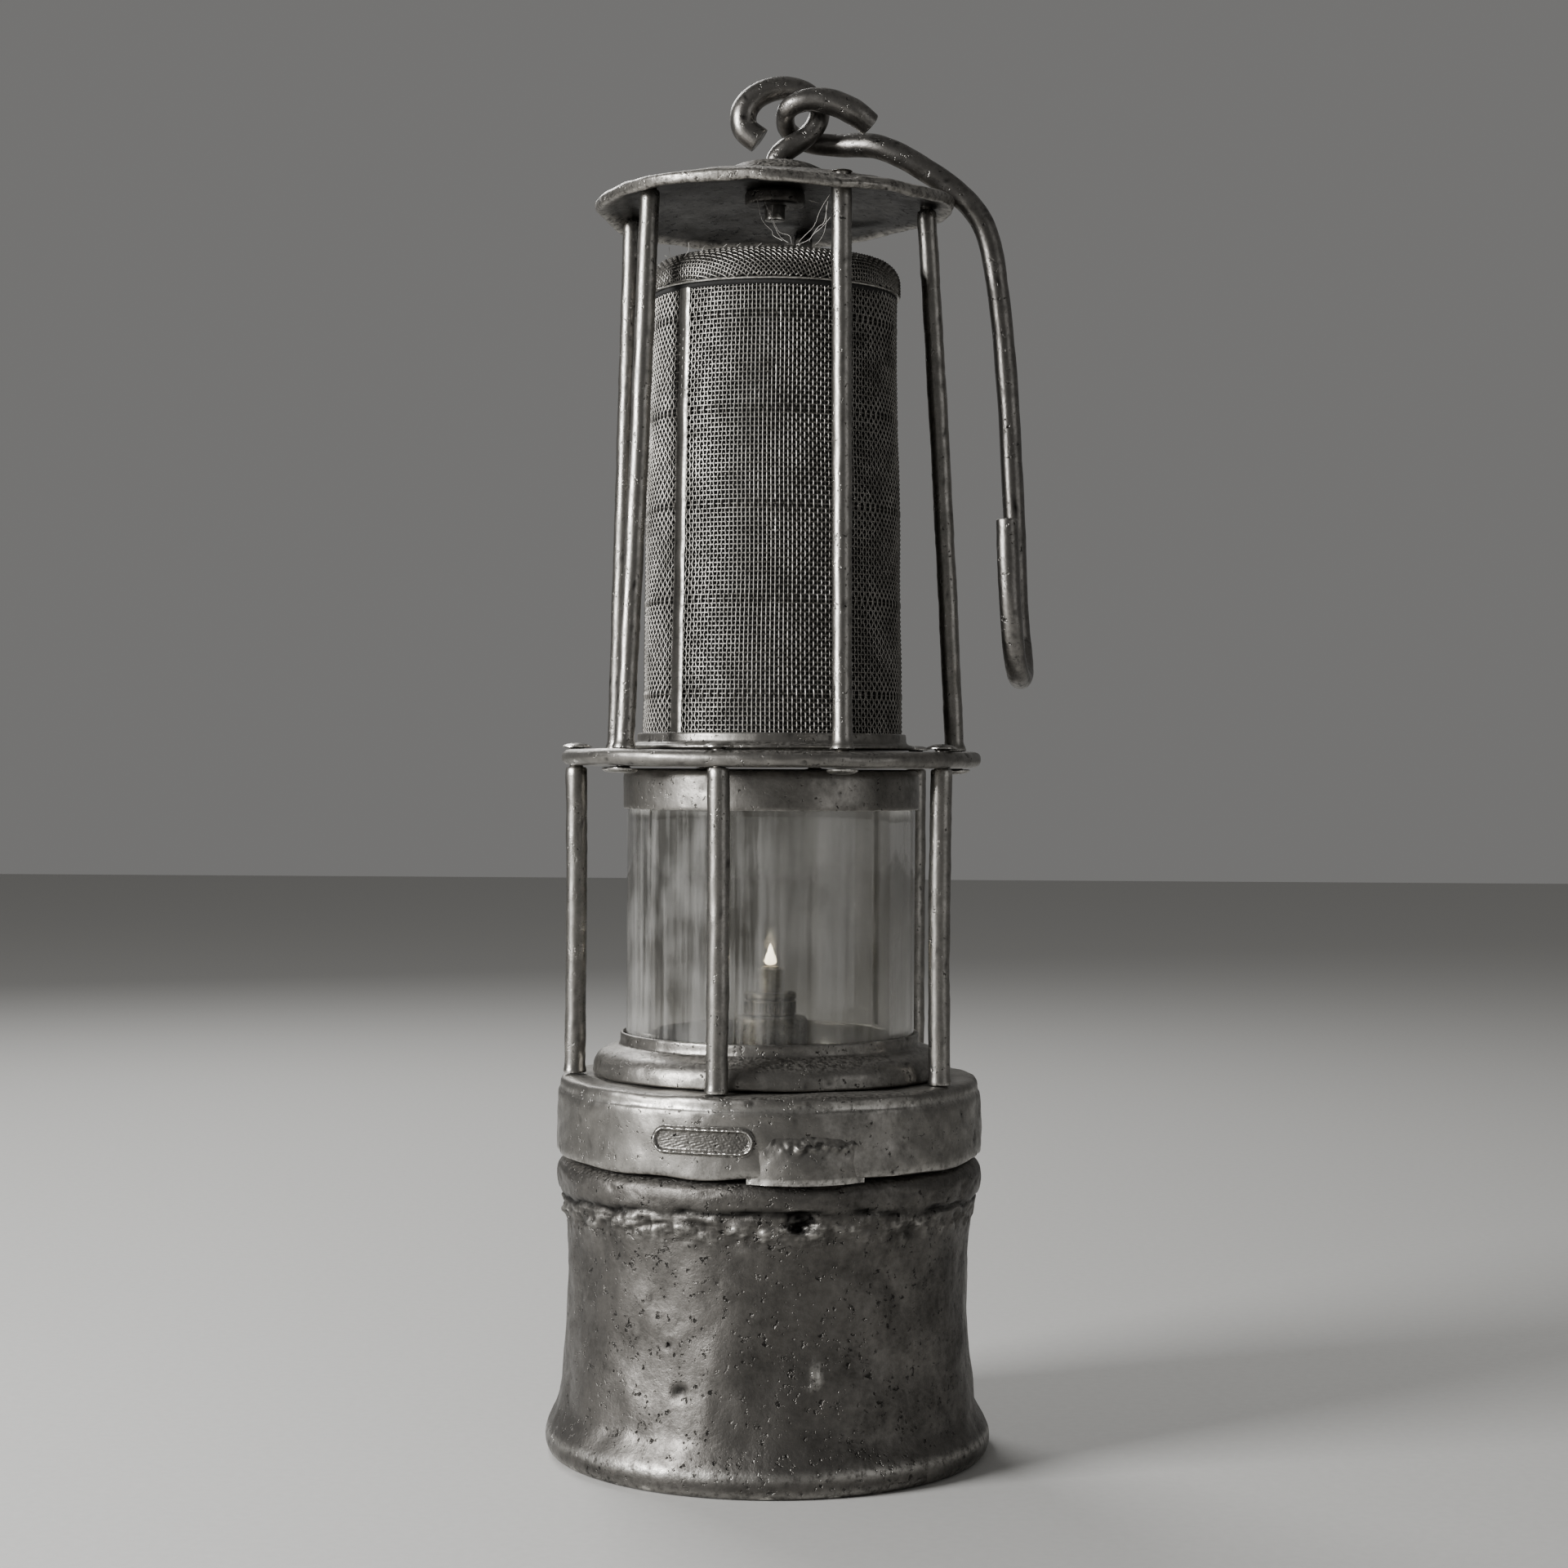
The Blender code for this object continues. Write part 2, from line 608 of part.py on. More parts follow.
def make_pillars():
    """The pillars are riveted over: a thin tenon goes through the ring or plate to a domed head."""
    lower = on_circle(LOWER_DEGREES, LOWER_PILLAR_AT_R)
    bottom, top = COLLAR_TOP + GAP, MIDDLE_BOTTOM - GAP
    outline = [(0, bottom), (LOWER_PILLAR_R, bottom), (LOWER_PILLAR_R, top), (TENON_R, top)]
    outline += [(TENON_R, MIDDLE_TOP + GAP), (3.2 * MM, MIDDLE_TOP + GAP)]
    outline += [(3.0 * MM, MIDDLE_TOP + 0.9 * MM), (1.8 * MM, MIDDLE_TOP + 1.5 * MM)]
    outline += [(0, MIDDLE_TOP + 1.7 * MM)]
    for number, place in enumerate(lower, 1):
        turned(f"lower_pillar_{number}", outline, "worn_steel", PILLAR_STEPS, place)

    feet = on_circle(UPPER_FOOT_DEGREES, UPPER_PILLAR_FOOT_R)
    tops = on_circle(UPPER_HEAD_DEGREES, UPPER_PILLAR_HEAD_R)
    plate_top = plate_height(UPPER_PILLAR_HEAD_R)
    for number, (foot, top_at) in enumerate(zip(feet, tops), 1):
        low = Vector((*foot, MIDDLE_BOTTOM))
        high = Vector((*top_at, plate_top))
        length = (high - low).length
        ring = MIDDLE_TOP - MIDDLE_BOTTOM
        outline = [(0, -1.6 * MM), (2.4 * MM, -1.6 * MM), (3.3 * MM, -1.2 * MM)]
        outline += [(3.3 * MM, -0.6 * MM), (TENON_R, -0.6 * MM), (TENON_R, ring + 0.5 * MM)]
        outline += [(UPPER_PILLAR_R, ring + 0.5 * MM)]
        outline += [(UPPER_PILLAR_R, length - PLATE_THICK - 1.2 * MM)]
        outline += [(TENON_R, length - PLATE_THICK - 1.2 * MM), (TENON_R, length + 0.9 * MM)]
        outline += [(2.4 * MM, length + 0.9 * MM), (2.1 * MM, length + 1.6 * MM)]
        outline += [(0, length + 2.0 * MM)]
        pillar = turned(f"upper_pillar_{number}", outline, "worn_steel", PILLAR_STEPS)
        lean = (high - low).to_track_quat("Z", "Y").to_matrix().to_4x4()
        pillar.matrix_world = Matrix.Translation(low) @ lean


def plate_height(radius):
    """The height of the top plate's upper face at a distance from the axis."""
    return PLATE_CROWN_Z - (PLATE_CROWN_Z - PLATE_RIM_Z) * (radius / PLATE_R) ** 2


def make_gauze():
    wall_top = CAP_HEM_Z + 3.2 * MM
    low = MIDDLE_TOP + GAP
    ring = [(MIDDLE_HOLE_R + 0.4 * MM, low), (GAUZE_RING_R, low)]
    ring += [(GAUZE_RING_R, low + 0.9 * MM), (GAUZE_FOOT_R + 0.9 * MM, low + 1.2 * MM)]
    ring += [(GAUZE_FOOT_R + 0.9 * MM, GAUZE_RING_TOP), (GAUZE_FOOT_R + GAP, GAUZE_RING_TOP)]
    ring += [(GAUZE_FOOT_R + GAP, low + 0.8 * MM), (MIDDLE_HOLE_R + 0.4 * MM, low + 0.8 * MM)]
    turned("gauze_ring", ring, "worn_steel", MID_STEPS)
    foot_z = low + 0.8 * MM + GAP
    lean = (GAUZE_FOOT_R - GAUZE_HEAD_R) * (wall_top - foot_z) / (CAP_HEM_Z - foot_z)
    wall = [(GAUZE_FOOT_R - GAUZE_THICK, foot_z), (GAUZE_FOOT_R, foot_z)]
    wall += [(GAUZE_FOOT_R - lean, wall_top), (GAUZE_FOOT_R - lean - GAUZE_THICK, wall_top)]
    turned("gauze", wall, "gauze_wire", BIG_STEPS)
    hem = CAP_HEM_Z
    side_top = hem + 2.8 * MM
    shoulder_r = 4.5 * MM
    outer = [(CAP_R, hem), (CAP_R - 0.1 * MM, side_top - 1.5 * MM)]
    outer += arc((CAP_R - shoulder_r, side_top), shoulder_r, 8, 62, 5)
    crown = [(19.5 * MM, 2.4 * MM), (14.0 * MM, 1.3 * MM), (7.0 * MM, 0.4 * MM), (0, 0)]
    outer += [(radius, CAP_TOP - drop) for radius, drop in crown]
    thick = 0.8 * MM
    bore = CAP_R - thick
    inner = [(radius, CAP_TOP - drop - thick) for radius, drop in reversed(crown)]
    inner += arc((CAP_R - shoulder_r, side_top), shoulder_r - thick, 62, 8, 5)
    inner += [(bore, side_top - 1.5 * MM), (bore, hem)]
    turned("gauze_cap", outer + inner, "gauze_wire", BIG_STEPS)


def make_top():
    """The dished top plate, its boss washer, and the swivel eye whose stem passes through both."""
    hole = EYE_ROD_R + GAP
    radii = [PLATE_R * i / 4 for i in range(1, 4)]
    plate = [(hole, plate_height(0))]
    plate += [(radius, plate_height(radius)) for radius in radii]
    edge = PLATE_THICK / 2
    plate += arc((PLATE_R - edge, PLATE_RIM_Z - edge), edge, 75, -75, 5)
    plate += [(radius, plate_height(radius) - PLATE_THICK) for radius in reversed(radii)]
    plate += [(hole, plate_height(0) - PLATE_THICK)]
    plate_piece = turned("top_plate", plate, "dark_iron", BIG_STEPS)
    tops = on_circle(UPPER_HEAD_DEGREES, UPPER_PILLAR_HEAD_R)
    for number, place in enumerate(tops, 1):
        tool = cutter(f"cut_plate_{number}", TENON_R + 0.5 * MM, 250 * MM, 270 * MM, place, 8)
        boolean(plate_piece, tool)
    low = plate_height(0) + GAP
    rim = plate_height(BOSS_R) + GAP
    boss_hole = hole + 1.0 * MM
    boss = [(boss_hole, low), (BOSS_R * 0.6, plate_height(BOSS_R * 0.6) + GAP), (BOSS_R - 0.3 * MM, rim)]
    boss += [(BOSS_R, rim + 0.5 * MM), (BOSS_R * 0.86, rim + 1.8 * MM)]
    boss += [(BOSS_R * 0.6, rim + 3.3 * MM), (BOSS_R * 0.35, BOSS_TOP - 0.3 * MM)]
    boss += [(boss_hole, BOSS_TOP)]
    turned("boss_washer", boss, "dark_iron", MID_STEPS)

    limb = [(0, 262.0), (0, 267.5), (2.2, 270.3), (6.1, 272.8), (8.6, 275.8), (8.9, 279.0)]
    ring = [(6.4, 282.1), (1.6, 283.2), (-3.3, 281.9), (-6.4, 278.6), (-6.4, 274.8), (-3.4, 272.2)]
    knots = [Vector((0, 0, STEM_BOTTOM))]
    knots += [Vector((x, 0, z)) * MM for x, z in limb + ring]
    rod_along("swivel_eye", smooth_path(knots, 3), EYE_ROD_R, "hook_steel", 3)
    nut_top = plate_height(0) - PLATE_THICK - GAP
    turned(
        "swivel_nut",
        tube_outline(NUT_R, EYE_ROD_R + GAP, 258.4 * MM, nut_top, 0.5 * MM),
        "dark_iron",
        SMALL_STEPS,
    )


def hook_path():
    """The hook's centre line in mm: free end, eye, shoulder over the plate, shank, U bend, tip.

    The eye goes round the swivel eye's limb: its front strand is high and its back strand low, and
    between them it passes through the swivel eye at the pivot.
    """
    front = [(19.6, -3.9, 274.7), (16.4, -5.1, 277.0), (12.2, -5.4, 278.9), (7.8, -5.3, 279.6)]
    front += [(4.4, -4.7, 279.0), (2.5, -2.9, 277.9)]
    back = [(2.0, 0, 276.7), (2.5, 2.9, 275.3), (4.6, 4.8, 273.8), (8.6, 5.2, 272.8)]
    back += [(13.4, 4.6, 272.3), (17.8, 2.4, 272.0)]
    shoulder = [(21.6, 0.8, 271.2), (26.6, 0, 269.0), (31.4, 0, 266.2), (36.8, 0, 262.5)]
    shoulder += [(41.6, 0, 257.9), (44.6, 0, 251.8)]
    shank = [(46.6, 0, 241.0), (48.6, 0, 222.0), (50.2, 0, 196.0), (51.2, 0, 174.0)]
    bend = [(51.9, -1.0, 166.4), (51.8, -4.8, 161.8), (50.9, -10.6, 160.2)]
    bend += [(49.7, -16.4, 161.8), (48.6, -20.6, 166.6), (47.8, -22.6, 174.0)]
    return front + back + shoulder + shank + bend + [(47.2, -23.2, 183.0), (47.0, -22.8, 191.6)]


def make_hook():
    knots = [Vector(point) * MM for point in hook_path()]
    rod_along("hook", smooth_path(knots, 2), HOOK_ROD_R, "hook_steel", 3, HOOK_PIVOT)


for old in list(bpy.data.objects):
    bpy.data.objects.remove(old, do_unlink=True)

make_vessel()
make_burner()
make_wick_adjuster()
make_collar()
make_glass_and_rings()
make_pillars()
make_gauze()
make_top()
make_hook()
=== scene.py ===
# %% [markdown]
# # A miner's flame safety lamp
#
# An oil lamp for work underground. A thick glass and a fine wire gauze surround its flame, so the
# flame can't light the gas outside. The lamp has an iron pot for the oil, a collar that screws on
# the pot, a glass in two rings, a middle ring between two rows of pillars, the gauze with its cap,
# a dished top plate, and a hook that hangs from a swivel.
#
# The engineering model gives every place and size. This lesson gives each piece its real surface:
# hammered iron, worn steel, woven wire, dusty glass and soot.

import math

import bpy
import numpy as np
from mathutils import Matrix, Vector


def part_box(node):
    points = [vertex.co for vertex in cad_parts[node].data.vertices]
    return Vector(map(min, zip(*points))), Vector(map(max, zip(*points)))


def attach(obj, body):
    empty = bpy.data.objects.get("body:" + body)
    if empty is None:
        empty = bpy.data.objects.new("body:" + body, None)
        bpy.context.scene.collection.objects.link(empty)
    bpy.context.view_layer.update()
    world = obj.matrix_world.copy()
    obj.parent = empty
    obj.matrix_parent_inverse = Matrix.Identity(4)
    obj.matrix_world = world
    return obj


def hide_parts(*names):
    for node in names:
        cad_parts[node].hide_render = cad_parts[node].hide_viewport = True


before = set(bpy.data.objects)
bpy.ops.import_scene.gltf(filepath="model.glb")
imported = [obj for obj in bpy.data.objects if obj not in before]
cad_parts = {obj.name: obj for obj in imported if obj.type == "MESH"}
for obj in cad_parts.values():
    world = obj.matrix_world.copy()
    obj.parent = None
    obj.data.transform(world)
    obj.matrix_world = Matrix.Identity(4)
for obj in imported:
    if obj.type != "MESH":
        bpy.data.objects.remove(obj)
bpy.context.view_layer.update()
MM = 0.001
TURN = 2 * math.pi

# %% [markdown]
# ## The camera and the studio
#
# The lamp is looked at from half its height and from the front, with a lens of 65 mm, so the pot
# is seen a little from above and the top plate from below. A camera can be aimed by hand in the
# 3D view, or placed by numbers as here, which keeps it the same each time the lesson is run.
#
# One large soft light on the left draws the long bright lines on the round metal, and leaves
# shade on the right. The grey world and a weak light on the right keep the shade readable.

# %% Camera, floor and lights
lens = bpy.data.cameras.new("lamp_camera")
lens.lens = 64.7
lens.sensor_width = 36
camera = bpy.data.objects.new("lamp_camera", lens)
bpy.context.scene.collection.objects.link(camera)
camera.location = (0.0026, -0.588, 0.1416)
camera.rotation_euler = (math.radians(90 - 0.332), math.radians(-0.36), 0)
bpy.context.scene.camera = camera


def srgb(code):
    """A hex colour as the linear numbers that a shader works in."""
    parts = [int(code[i : i + 2], 16) / 255 for i in (0, 2, 4)]
    return tuple(p / 12.92 if p <= 0.04045 else ((p + 0.055) / 1.055) ** 2.4 for p in parts) + (1,)


def deselect():
    bpy.ops.object.select_all(action="DESELECT")


def select_only(*pieces):
    """Selects these objects and makes the first one active."""
    deselect()
    for piece in pieces:
        piece.select_set(True)
    bpy.context.view_layer.objects.active = pieces[0]


def edit_mode():
    bpy.ops.object.mode_set(mode="EDIT")


def object_mode():
    bpy.ops.object.mode_set(mode="OBJECT")


def pick_all():
    bpy.ops.mesh.select_all(action="SELECT")


def pick_none():
    bpy.ops.mesh.select_all(action="DESELECT")


def smooth_to(degrees):
    """Smooth shading, with sharp edges where faces meet at more than this angle."""
    bpy.ops.object.shade_smooth_by_angle(angle=math.radians(degrees))


def soft_light(name, place, target, size, watts):
    """A square lamp that faces its target, given in metres and watts."""
    deselect()
    bpy.ops.object.light_add(type="AREA", location=place)
    light = bpy.context.object
    light.name = name
    light.data.size = size
    light.data.energy = watts
    light.rotation_euler = (Vector(target) - Vector(place)).to_track_quat("-Z", "Y").to_euler()


soft_light("key", (-0.80, -0.46, 0.40), (0, 0, 0.13), 0.36, 19)
soft_light("rim", (-0.35, 0.70, 0.75), (0, 0, 0.20), 0.40, 6)
soft_light("fill", (0.80, -0.60, 0.30), (0, 0, 0.13), 0.60, 0.7)
world = bpy.data.worlds.new("grey_room")
bpy.context.scene.world = world
world.use_nodes = True
world.node_tree.nodes["Background"].inputs["Color"].default_value = srgb("c9c8c6")
world.node_tree.nodes["Background"].inputs["Strength"].default_value = 0.30

# %% [markdown]
# ## One helper for materials
#
# A material here is a small net of nodes. They can be placed by hand in the Shader Editor. In a
# script, one function adds any node with its settings and its links, so each material below reads
# as a list of what its surface is made of.

# %% Adding a node


def add_node(tree, kind, settings=None, links=None):
    """One shader node. Settings are its options and socket values, links feed its sockets.

    A link is a socket, or a node, which stands for its first output.
    """
    node = tree.nodes.new("ShaderNode" + kind)
    for name, value in (settings or {}).items():
        if isinstance(name, str) and hasattr(node, name):
            setattr(node, name, value)
        else:
            node.inputs[name].default_value = value
    for name, source in (links or {}).items():
        first = source.outputs[0] if isinstance(source, bpy.types.Node) else source
        tree.links.new(first, node.inputs[name])
    return node


def new_material(name):
    """An empty material with its output node."""
    made = bpy.data.materials.new(name)
    made.use_nodes = True
    tree = made.node_tree
    tree.nodes.clear()
    return made, tree, tree.nodes.new("ShaderNodeOutputMaterial")


# %% [markdown]
# ## The floor
#
# A plain pale board. Its faint mottling, about 2 mm wide, keeps it from looking like plain colour.

# %% Floor
floor_paint, tree, output = new_material("pale_painted_board")
place = add_node(tree, "TexCoord").outputs["Object"]
mottle = add_node(tree, "TexNoise", {"Scale": 1 / (2 * MM), "Detail": 3}, {"Vector": place})
paint = add_node(tree, "Mix", {"data_type": "RGBA", 6: srgb("b9b8b5"), 7: srgb("c6c5c2")},
                 {0: mottle})
skin = add_node(tree, "BsdfPrincipled", {"Roughness": 0.62}, {"Base Color": paint.outputs[2]})
tree.links.new(skin.outputs[0], output.inputs["Surface"])
deselect()
bpy.ops.mesh.primitive_plane_add(size=6)
floor = bpy.context.object
floor.name = "floor"
floor.data.materials.append(floor_paint)

# %% [markdown]
# ## Metal finishes
#
# Every metal on this lamp is iron, steel or brass that has been handled, knocked and left to
# rust for a century. What changes from piece to piece is how much. The finish has five layers:
#
# - wide patches of lighter and darker metal, where hands and cloths have rubbed,
# - small stains, where rust has been and gone,
# - pits, 0.5 to 1.5 mm wide, sunk into the surface,
# - bright worn edges, found with Pointiness, which is high where a surface turns outwards,
# - pale dust on whatever faces up.
#
# Two values stored on the points of a piece add to this: one darkens crevices and pits, and on the
# top plate it also paints shade on the underside; the other brightens what rubs, and on some rims
# and edges it also paints highlights. An image could hold all this, but these layers keep their real
# size in millimetres on any piece and need no unwrapping.

# %% The metal recipe


def old_metal(name, patch_dark, patch_light, bright, rough, grain, pit, pit_share, dust, bump):
    """Old metal: grain and pit are sizes in mm, pit_share and dust go from 0 to 1, bump is in mm."""
    made, tree, output = new_material(name)
    place = add_node(tree, "TexCoord").outputs["Object"]
    wide = add_node(tree, "TexNoise",
                    {"Scale": 1 / (grain * MM), "Detail": 5, "Roughness": 0.62, "Distortion": 0.4},
                    {"Vector": place})
    fine = add_node(tree, "TexNoise",
                    {"Scale": 6 / (grain * MM), "Detail": 4, "Roughness": 0.7}, {"Vector": place})
    both = add_node(tree, "Mix", {"data_type": "FLOAT", 0: 0.38},
                    {2: wide, 3: fine})
    patches = add_node(tree, "MapRange", {"From Min": 0.36, "From Max": 0.64},
                       {"Value": both})
    metal = add_node(tree, "Mix",
                     {"data_type": "RGBA", 6: srgb(patch_dark), 7: srgb(patch_light)},
                     {0: patches})
    # pits: the low spots of a noise, kept only where a second noise allows them
    cells = add_node(tree, "TexNoise", {"Scale": 1 / (pit * MM), "Detail": 2, "Roughness": 0.6},
                     {"Vector": place})
    where = add_node(tree, "TexNoise", {"Scale": 0.35 / (pit * MM), "Detail": 2},
                     {"Vector": place})
    gate = add_node(tree, "MapRange",
                    {"From Min": 0.62 - 0.3 * pit_share, "From Max": 0.70 - 0.3 * pit_share},
                    {"Value": where})
    low_spot = add_node(tree, "MapRange",
                        {"From Min": 0.42, "From Max": 0.30, "To Min": 0.0, "To Max": 0.8},
                        {"Value": cells})
    pits = add_node(tree, "Math", {"operation": "MULTIPLY"},
                    {0: gate, 1: low_spot})
    # darkened crevices and pits, and painted shade where a piece stores it, as under the top plate
    hollow_and_shade = add_node(tree, "Attribute", {"attribute_name": "hollow_and_shade"})
    sunk_and_shaded = add_node(tree, "Math", {"operation": "ADD", "use_clamp": True},
                    {0: pits, 1: hollow_and_shade.outputs["Fac"]})
    with_pits_and_shade = add_node(tree, "Mix", {"data_type": "RGBA", 7: srgb("1b1a19")},
                         {0: sunk_and_shaded, 6: metal.outputs[2]})
    # worn edges, and the painted highlights that some pieces store with their wear
    edge = add_node(tree, "MapRange", {"From Min": 0.53, "From Max": 0.62},
                    {"Value": add_node(tree, "NewGeometry").outputs["Pointiness"]})
    worn_and_highlight = add_node(tree, "Attribute", {"attribute_name": "worn_and_highlight"})
    rubbed_and_highlit = add_node(tree, "Math", {"operation": "ADD", "use_clamp": True},
                      {0: edge, 1: worn_and_highlight.outputs["Fac"]})
    broken = add_node(tree, "Math", {"operation": "MULTIPLY", "use_clamp": True},
                      {0: rubbed_and_highlit,
                       1: add_node(tree, "MapRange", {"From Min": 0.34, "From Max": 0.56},
                                   {"Value": fine})})
    with_wear_and_highlight = add_node(tree, "Mix", {"data_type": "RGBA", 7: srgb(bright)},
                         {0: broken, 6: with_pits_and_shade.outputs[2]})
    # dust on what faces up
    up = add_node(tree, "SeparateXYZ", {},
                  {0: add_node(tree, "NewGeometry").outputs["Normal"]})
    facing = add_node(tree, "MapRange", {"From Min": 0.45, "From Max": 0.95, "To Max": dust},
                      {"Value": up.outputs["Z"]})
    specks = add_node(tree, "TexNoise", {"Scale": 1 / (0.7 * MM), "Detail": 3},
                      {"Vector": place})
    speckled = add_node(tree, "MapRange", {"From Min": 0.38, "From Max": 0.60},
                        {"Value": specks})
    dusty = add_node(tree, "Math", {"operation": "MULTIPLY"},
                     {0: facing, 1: speckled})
    colour = add_node(tree, "Mix", {"data_type": "RGBA", 7: srgb("a5a19a")},
                      {0: dusty, 6: with_wear_and_highlight.outputs[2]})
    # roughness: patches, then smoother where worn and dull where dusty
    base_rough = add_node(tree, "MapRange", {"To Min": rough + 0.10, "To Max": rough - 0.08},
                          {"Value": patches})
    worn_rough = add_node(tree, "Mix", {"data_type": "FLOAT", 3: max(rough - 0.14, 0.2)},
                          {0: broken, 2: base_rough})
    dull_rough = add_node(tree, "Mix", {"data_type": "FLOAT", 3: 0.9},
                          {0: dusty, 2: worn_rough})
    metallic = add_node(tree, "MapRange", {"To Min": 1.0, "To Max": 0.1},
                        {"Value": dusty})
    # relief: pits go down, grain is a fine orange peel
    peel = add_node(tree, "Math", {"operation": "SUBTRACT"},
                    {0: both, 1: pits})
    relief = add_node(tree, "Bump", {"Strength": 1.0, "Distance": bump * MM},
                      {"Height": peel})
    skin = add_node(tree, "BsdfPrincipled", {},
                    {"Base Color": colour.outputs[2], "Roughness": dull_rough,
                     "Metallic": metallic, "Normal": relief})
    tree.links.new(skin.outputs[0], output.inputs["Surface"])
    return made


# %% [markdown]
# ## The metals of this lamp
#
# - The pot is wrought sheet iron, dark grey and pitted like orange peel.
# - The collar, rings and pillars are steel, rubbed to a dull shine, with short pits.
# - The top plate is iron that has been hot for years: darker, rougher and dusty.
# - The hook and swivel are forged steel rod, polished by hands and belts.
# - The burner is brass, so dull with soot and oil that it looks grey.
# - The gauze is thin steel wire.

# %% Metals
pot_iron = old_metal("hammered_pot_iron", "454340", "6e6b67", "c2bfb9", 0.44, 9, 1.1, 0.45, 0.25, 0.30)
frame_steel = old_metal("worn_frame_steel", "64625e", "8f8c87", "d6d3cd", 0.38, 7, 0.8, 0.35, 0.30, 0.12)
pillar_steel = old_metal("rubbed_pillar_steel", "6c6a66", "989590", "dcd9d3", 0.32, 5, 0.7, 0.40, 0.1, 0.08)
plate_iron = old_metal("fire_darkened_plate_iron", "3d3b38", "6a6763", "c0bcb5", 0.42, 8, 1.2, 0.45,
                       0.55, 0.22)
hook_steel = old_metal("forged_hook_steel", "565451", "817e7a", "d2cfc9", 0.34, 6, 0.9, 0.40, 0.2, 0.12)
brass = old_metal("sooty_burner_brass", "4a463c", "8f897b", "c9c2b0", 0.45, 4, 0.7, 0.35, 0.7, 0.15)
wire_steel = old_metal("gauze_wire", "5d5b57", "96938e", "dedbd5", 0.38, 6, 0.6, 0.20, 0.4, 0.02)
metals = [pot_iron, frame_steel, pillar_steel, plate_iron, hook_steel, brass, wire_steel]
print("metals:", ", ".join(m.name for m in metals))

# %% [markdown]
# ## Black for soot and shade, cotton and leather
#
# The inside of the gauze is black: soot, and painted shade where a solid black lining stands behind the
# wires. It has no shine at all. The wick and the wadding
# are cotton: soft twisted strands, about 0.6 mm apart. Leather washers seal the glass.

# %% Soft, sooty and shade-black finishes


def dull_stuff(name, low, high, strand, rough, bump):
    """A matt surface with strands or grain of this size in mm."""
    made, tree, output = new_material(name)
    place = add_node(tree, "TexCoord").outputs["Object"]
    noise = add_node(tree, "TexNoise", {"Scale": 1 / (strand * MM), "Detail": 4},
                     {"Vector": place})
    tint = add_node(tree, "Mix", {"data_type": "RGBA", 6: srgb(low), 7: srgb(high)},
                    {0: noise})
    relief = add_node(tree, "Bump", {"Distance": bump * MM}, {"Height": noise})
    skin = add_node(tree, "BsdfPrincipled", {"Roughness": rough},
                    {"Base Color": tint.outputs[2], "Normal": relief})
    tree.links.new(skin.outputs[0], output.inputs["Surface"])
    return made


# near black, for the linings behind the gauze and under the cap: soot, and painted shade
soot_and_shade_black = dull_stuff("lamp_soot_and_shade", "0b0b0b", "232221", 1.5, 0.95, 0.1)
cotton = dull_stuff("wick_cotton", "8d877b", "c9c3b5", 0.6, 0.95, 0.3)
leather = dull_stuff("oiled_leather", "2d231a", "4b3b2c", 0.9, 0.7, 0.15)

# %% [markdown]
# ## Old lamp glass
#
# The glass is a thick tube. Heat and dust have left a pale haze inside that runs in upright
# streaks, as wiping and drips do. Clear glass would let everything through, and frosted glass
# nothing, so the haze sets how much light passes from place to place.

# %% Glass
lamp_glass, tree, output = new_material("streaked_lamp_glass")
place = add_node(tree, "TexCoord").outputs["Object"]
upright = add_node(tree, "Mapping", {"Scale": (1, 1, 0.035)}, {"Vector": place})
streaks = add_node(tree, "TexNoise", {"Scale": 1 / (1.8 * MM), "Detail": 5, "Roughness": 0.65},
                   {"Vector": upright})
clouds = add_node(tree, "TexNoise", {"Scale": 1 / (16 * MM), "Detail": 4}, {"Vector": place})
grit = add_node(tree, "TexVoronoi", {"Scale": 1 / (1.1 * MM)}, {"Vector": place})
specks = add_node(tree, "MapRange", {"From Min": 0.05, "From Max": 0.03, "To Max": 0.5},
                  {"Value": grit})
blend = add_node(tree, "Mix", {"data_type": "FLOAT", 0: 0.5},
                 {2: streaks, 3: clouds})
haze = add_node(tree, "MapRange",
                {"From Min": 0.46, "From Max": 0.70, "To Min": 0.0, "To Max": 0.26},
                {"Value": blend})
dirty = add_node(tree, "Math", {"operation": "MAXIMUM"},
                 {0: haze, 1: specks})
clear = add_node(tree, "Math", {"operation": "SUBTRACT", 0: 1.0}, {1: dirty})
frost = add_node(tree, "MapRange", {"To Min": 0.015, "To Max": 0.55}, {"Value": dirty})
relief = add_node(tree, "Bump", {"Distance": 0.02 * MM, "Strength": 0.4},
                  {"Height": streaks})
skin = add_node(tree, "BsdfPrincipled", {"Base Color": srgb("dcdbd7"), "IOR": 1.5},
                {"Transmission Weight": clear, "Roughness": frost,
                 "Normal": relief})
tree.links.new(skin.outputs[0], output.inputs["Surface"])

# %% [markdown]
# ## Turned pieces
#
# Most of the lamp is round: the maker turned, spun or rolled it. In Blender such a piece is an
# outline that is spun about its axis. The engineering model already holds each outline, so it is
# read from there, its corners are softened, its long runs are cut into short ones, and it is
# spun again in many more steps. The short runs give the dents and pits something to move.
# A bore that isn't round the lamp's own axis is cut with the Boolean modifier.

# %% Reading, softening and spinning an outline


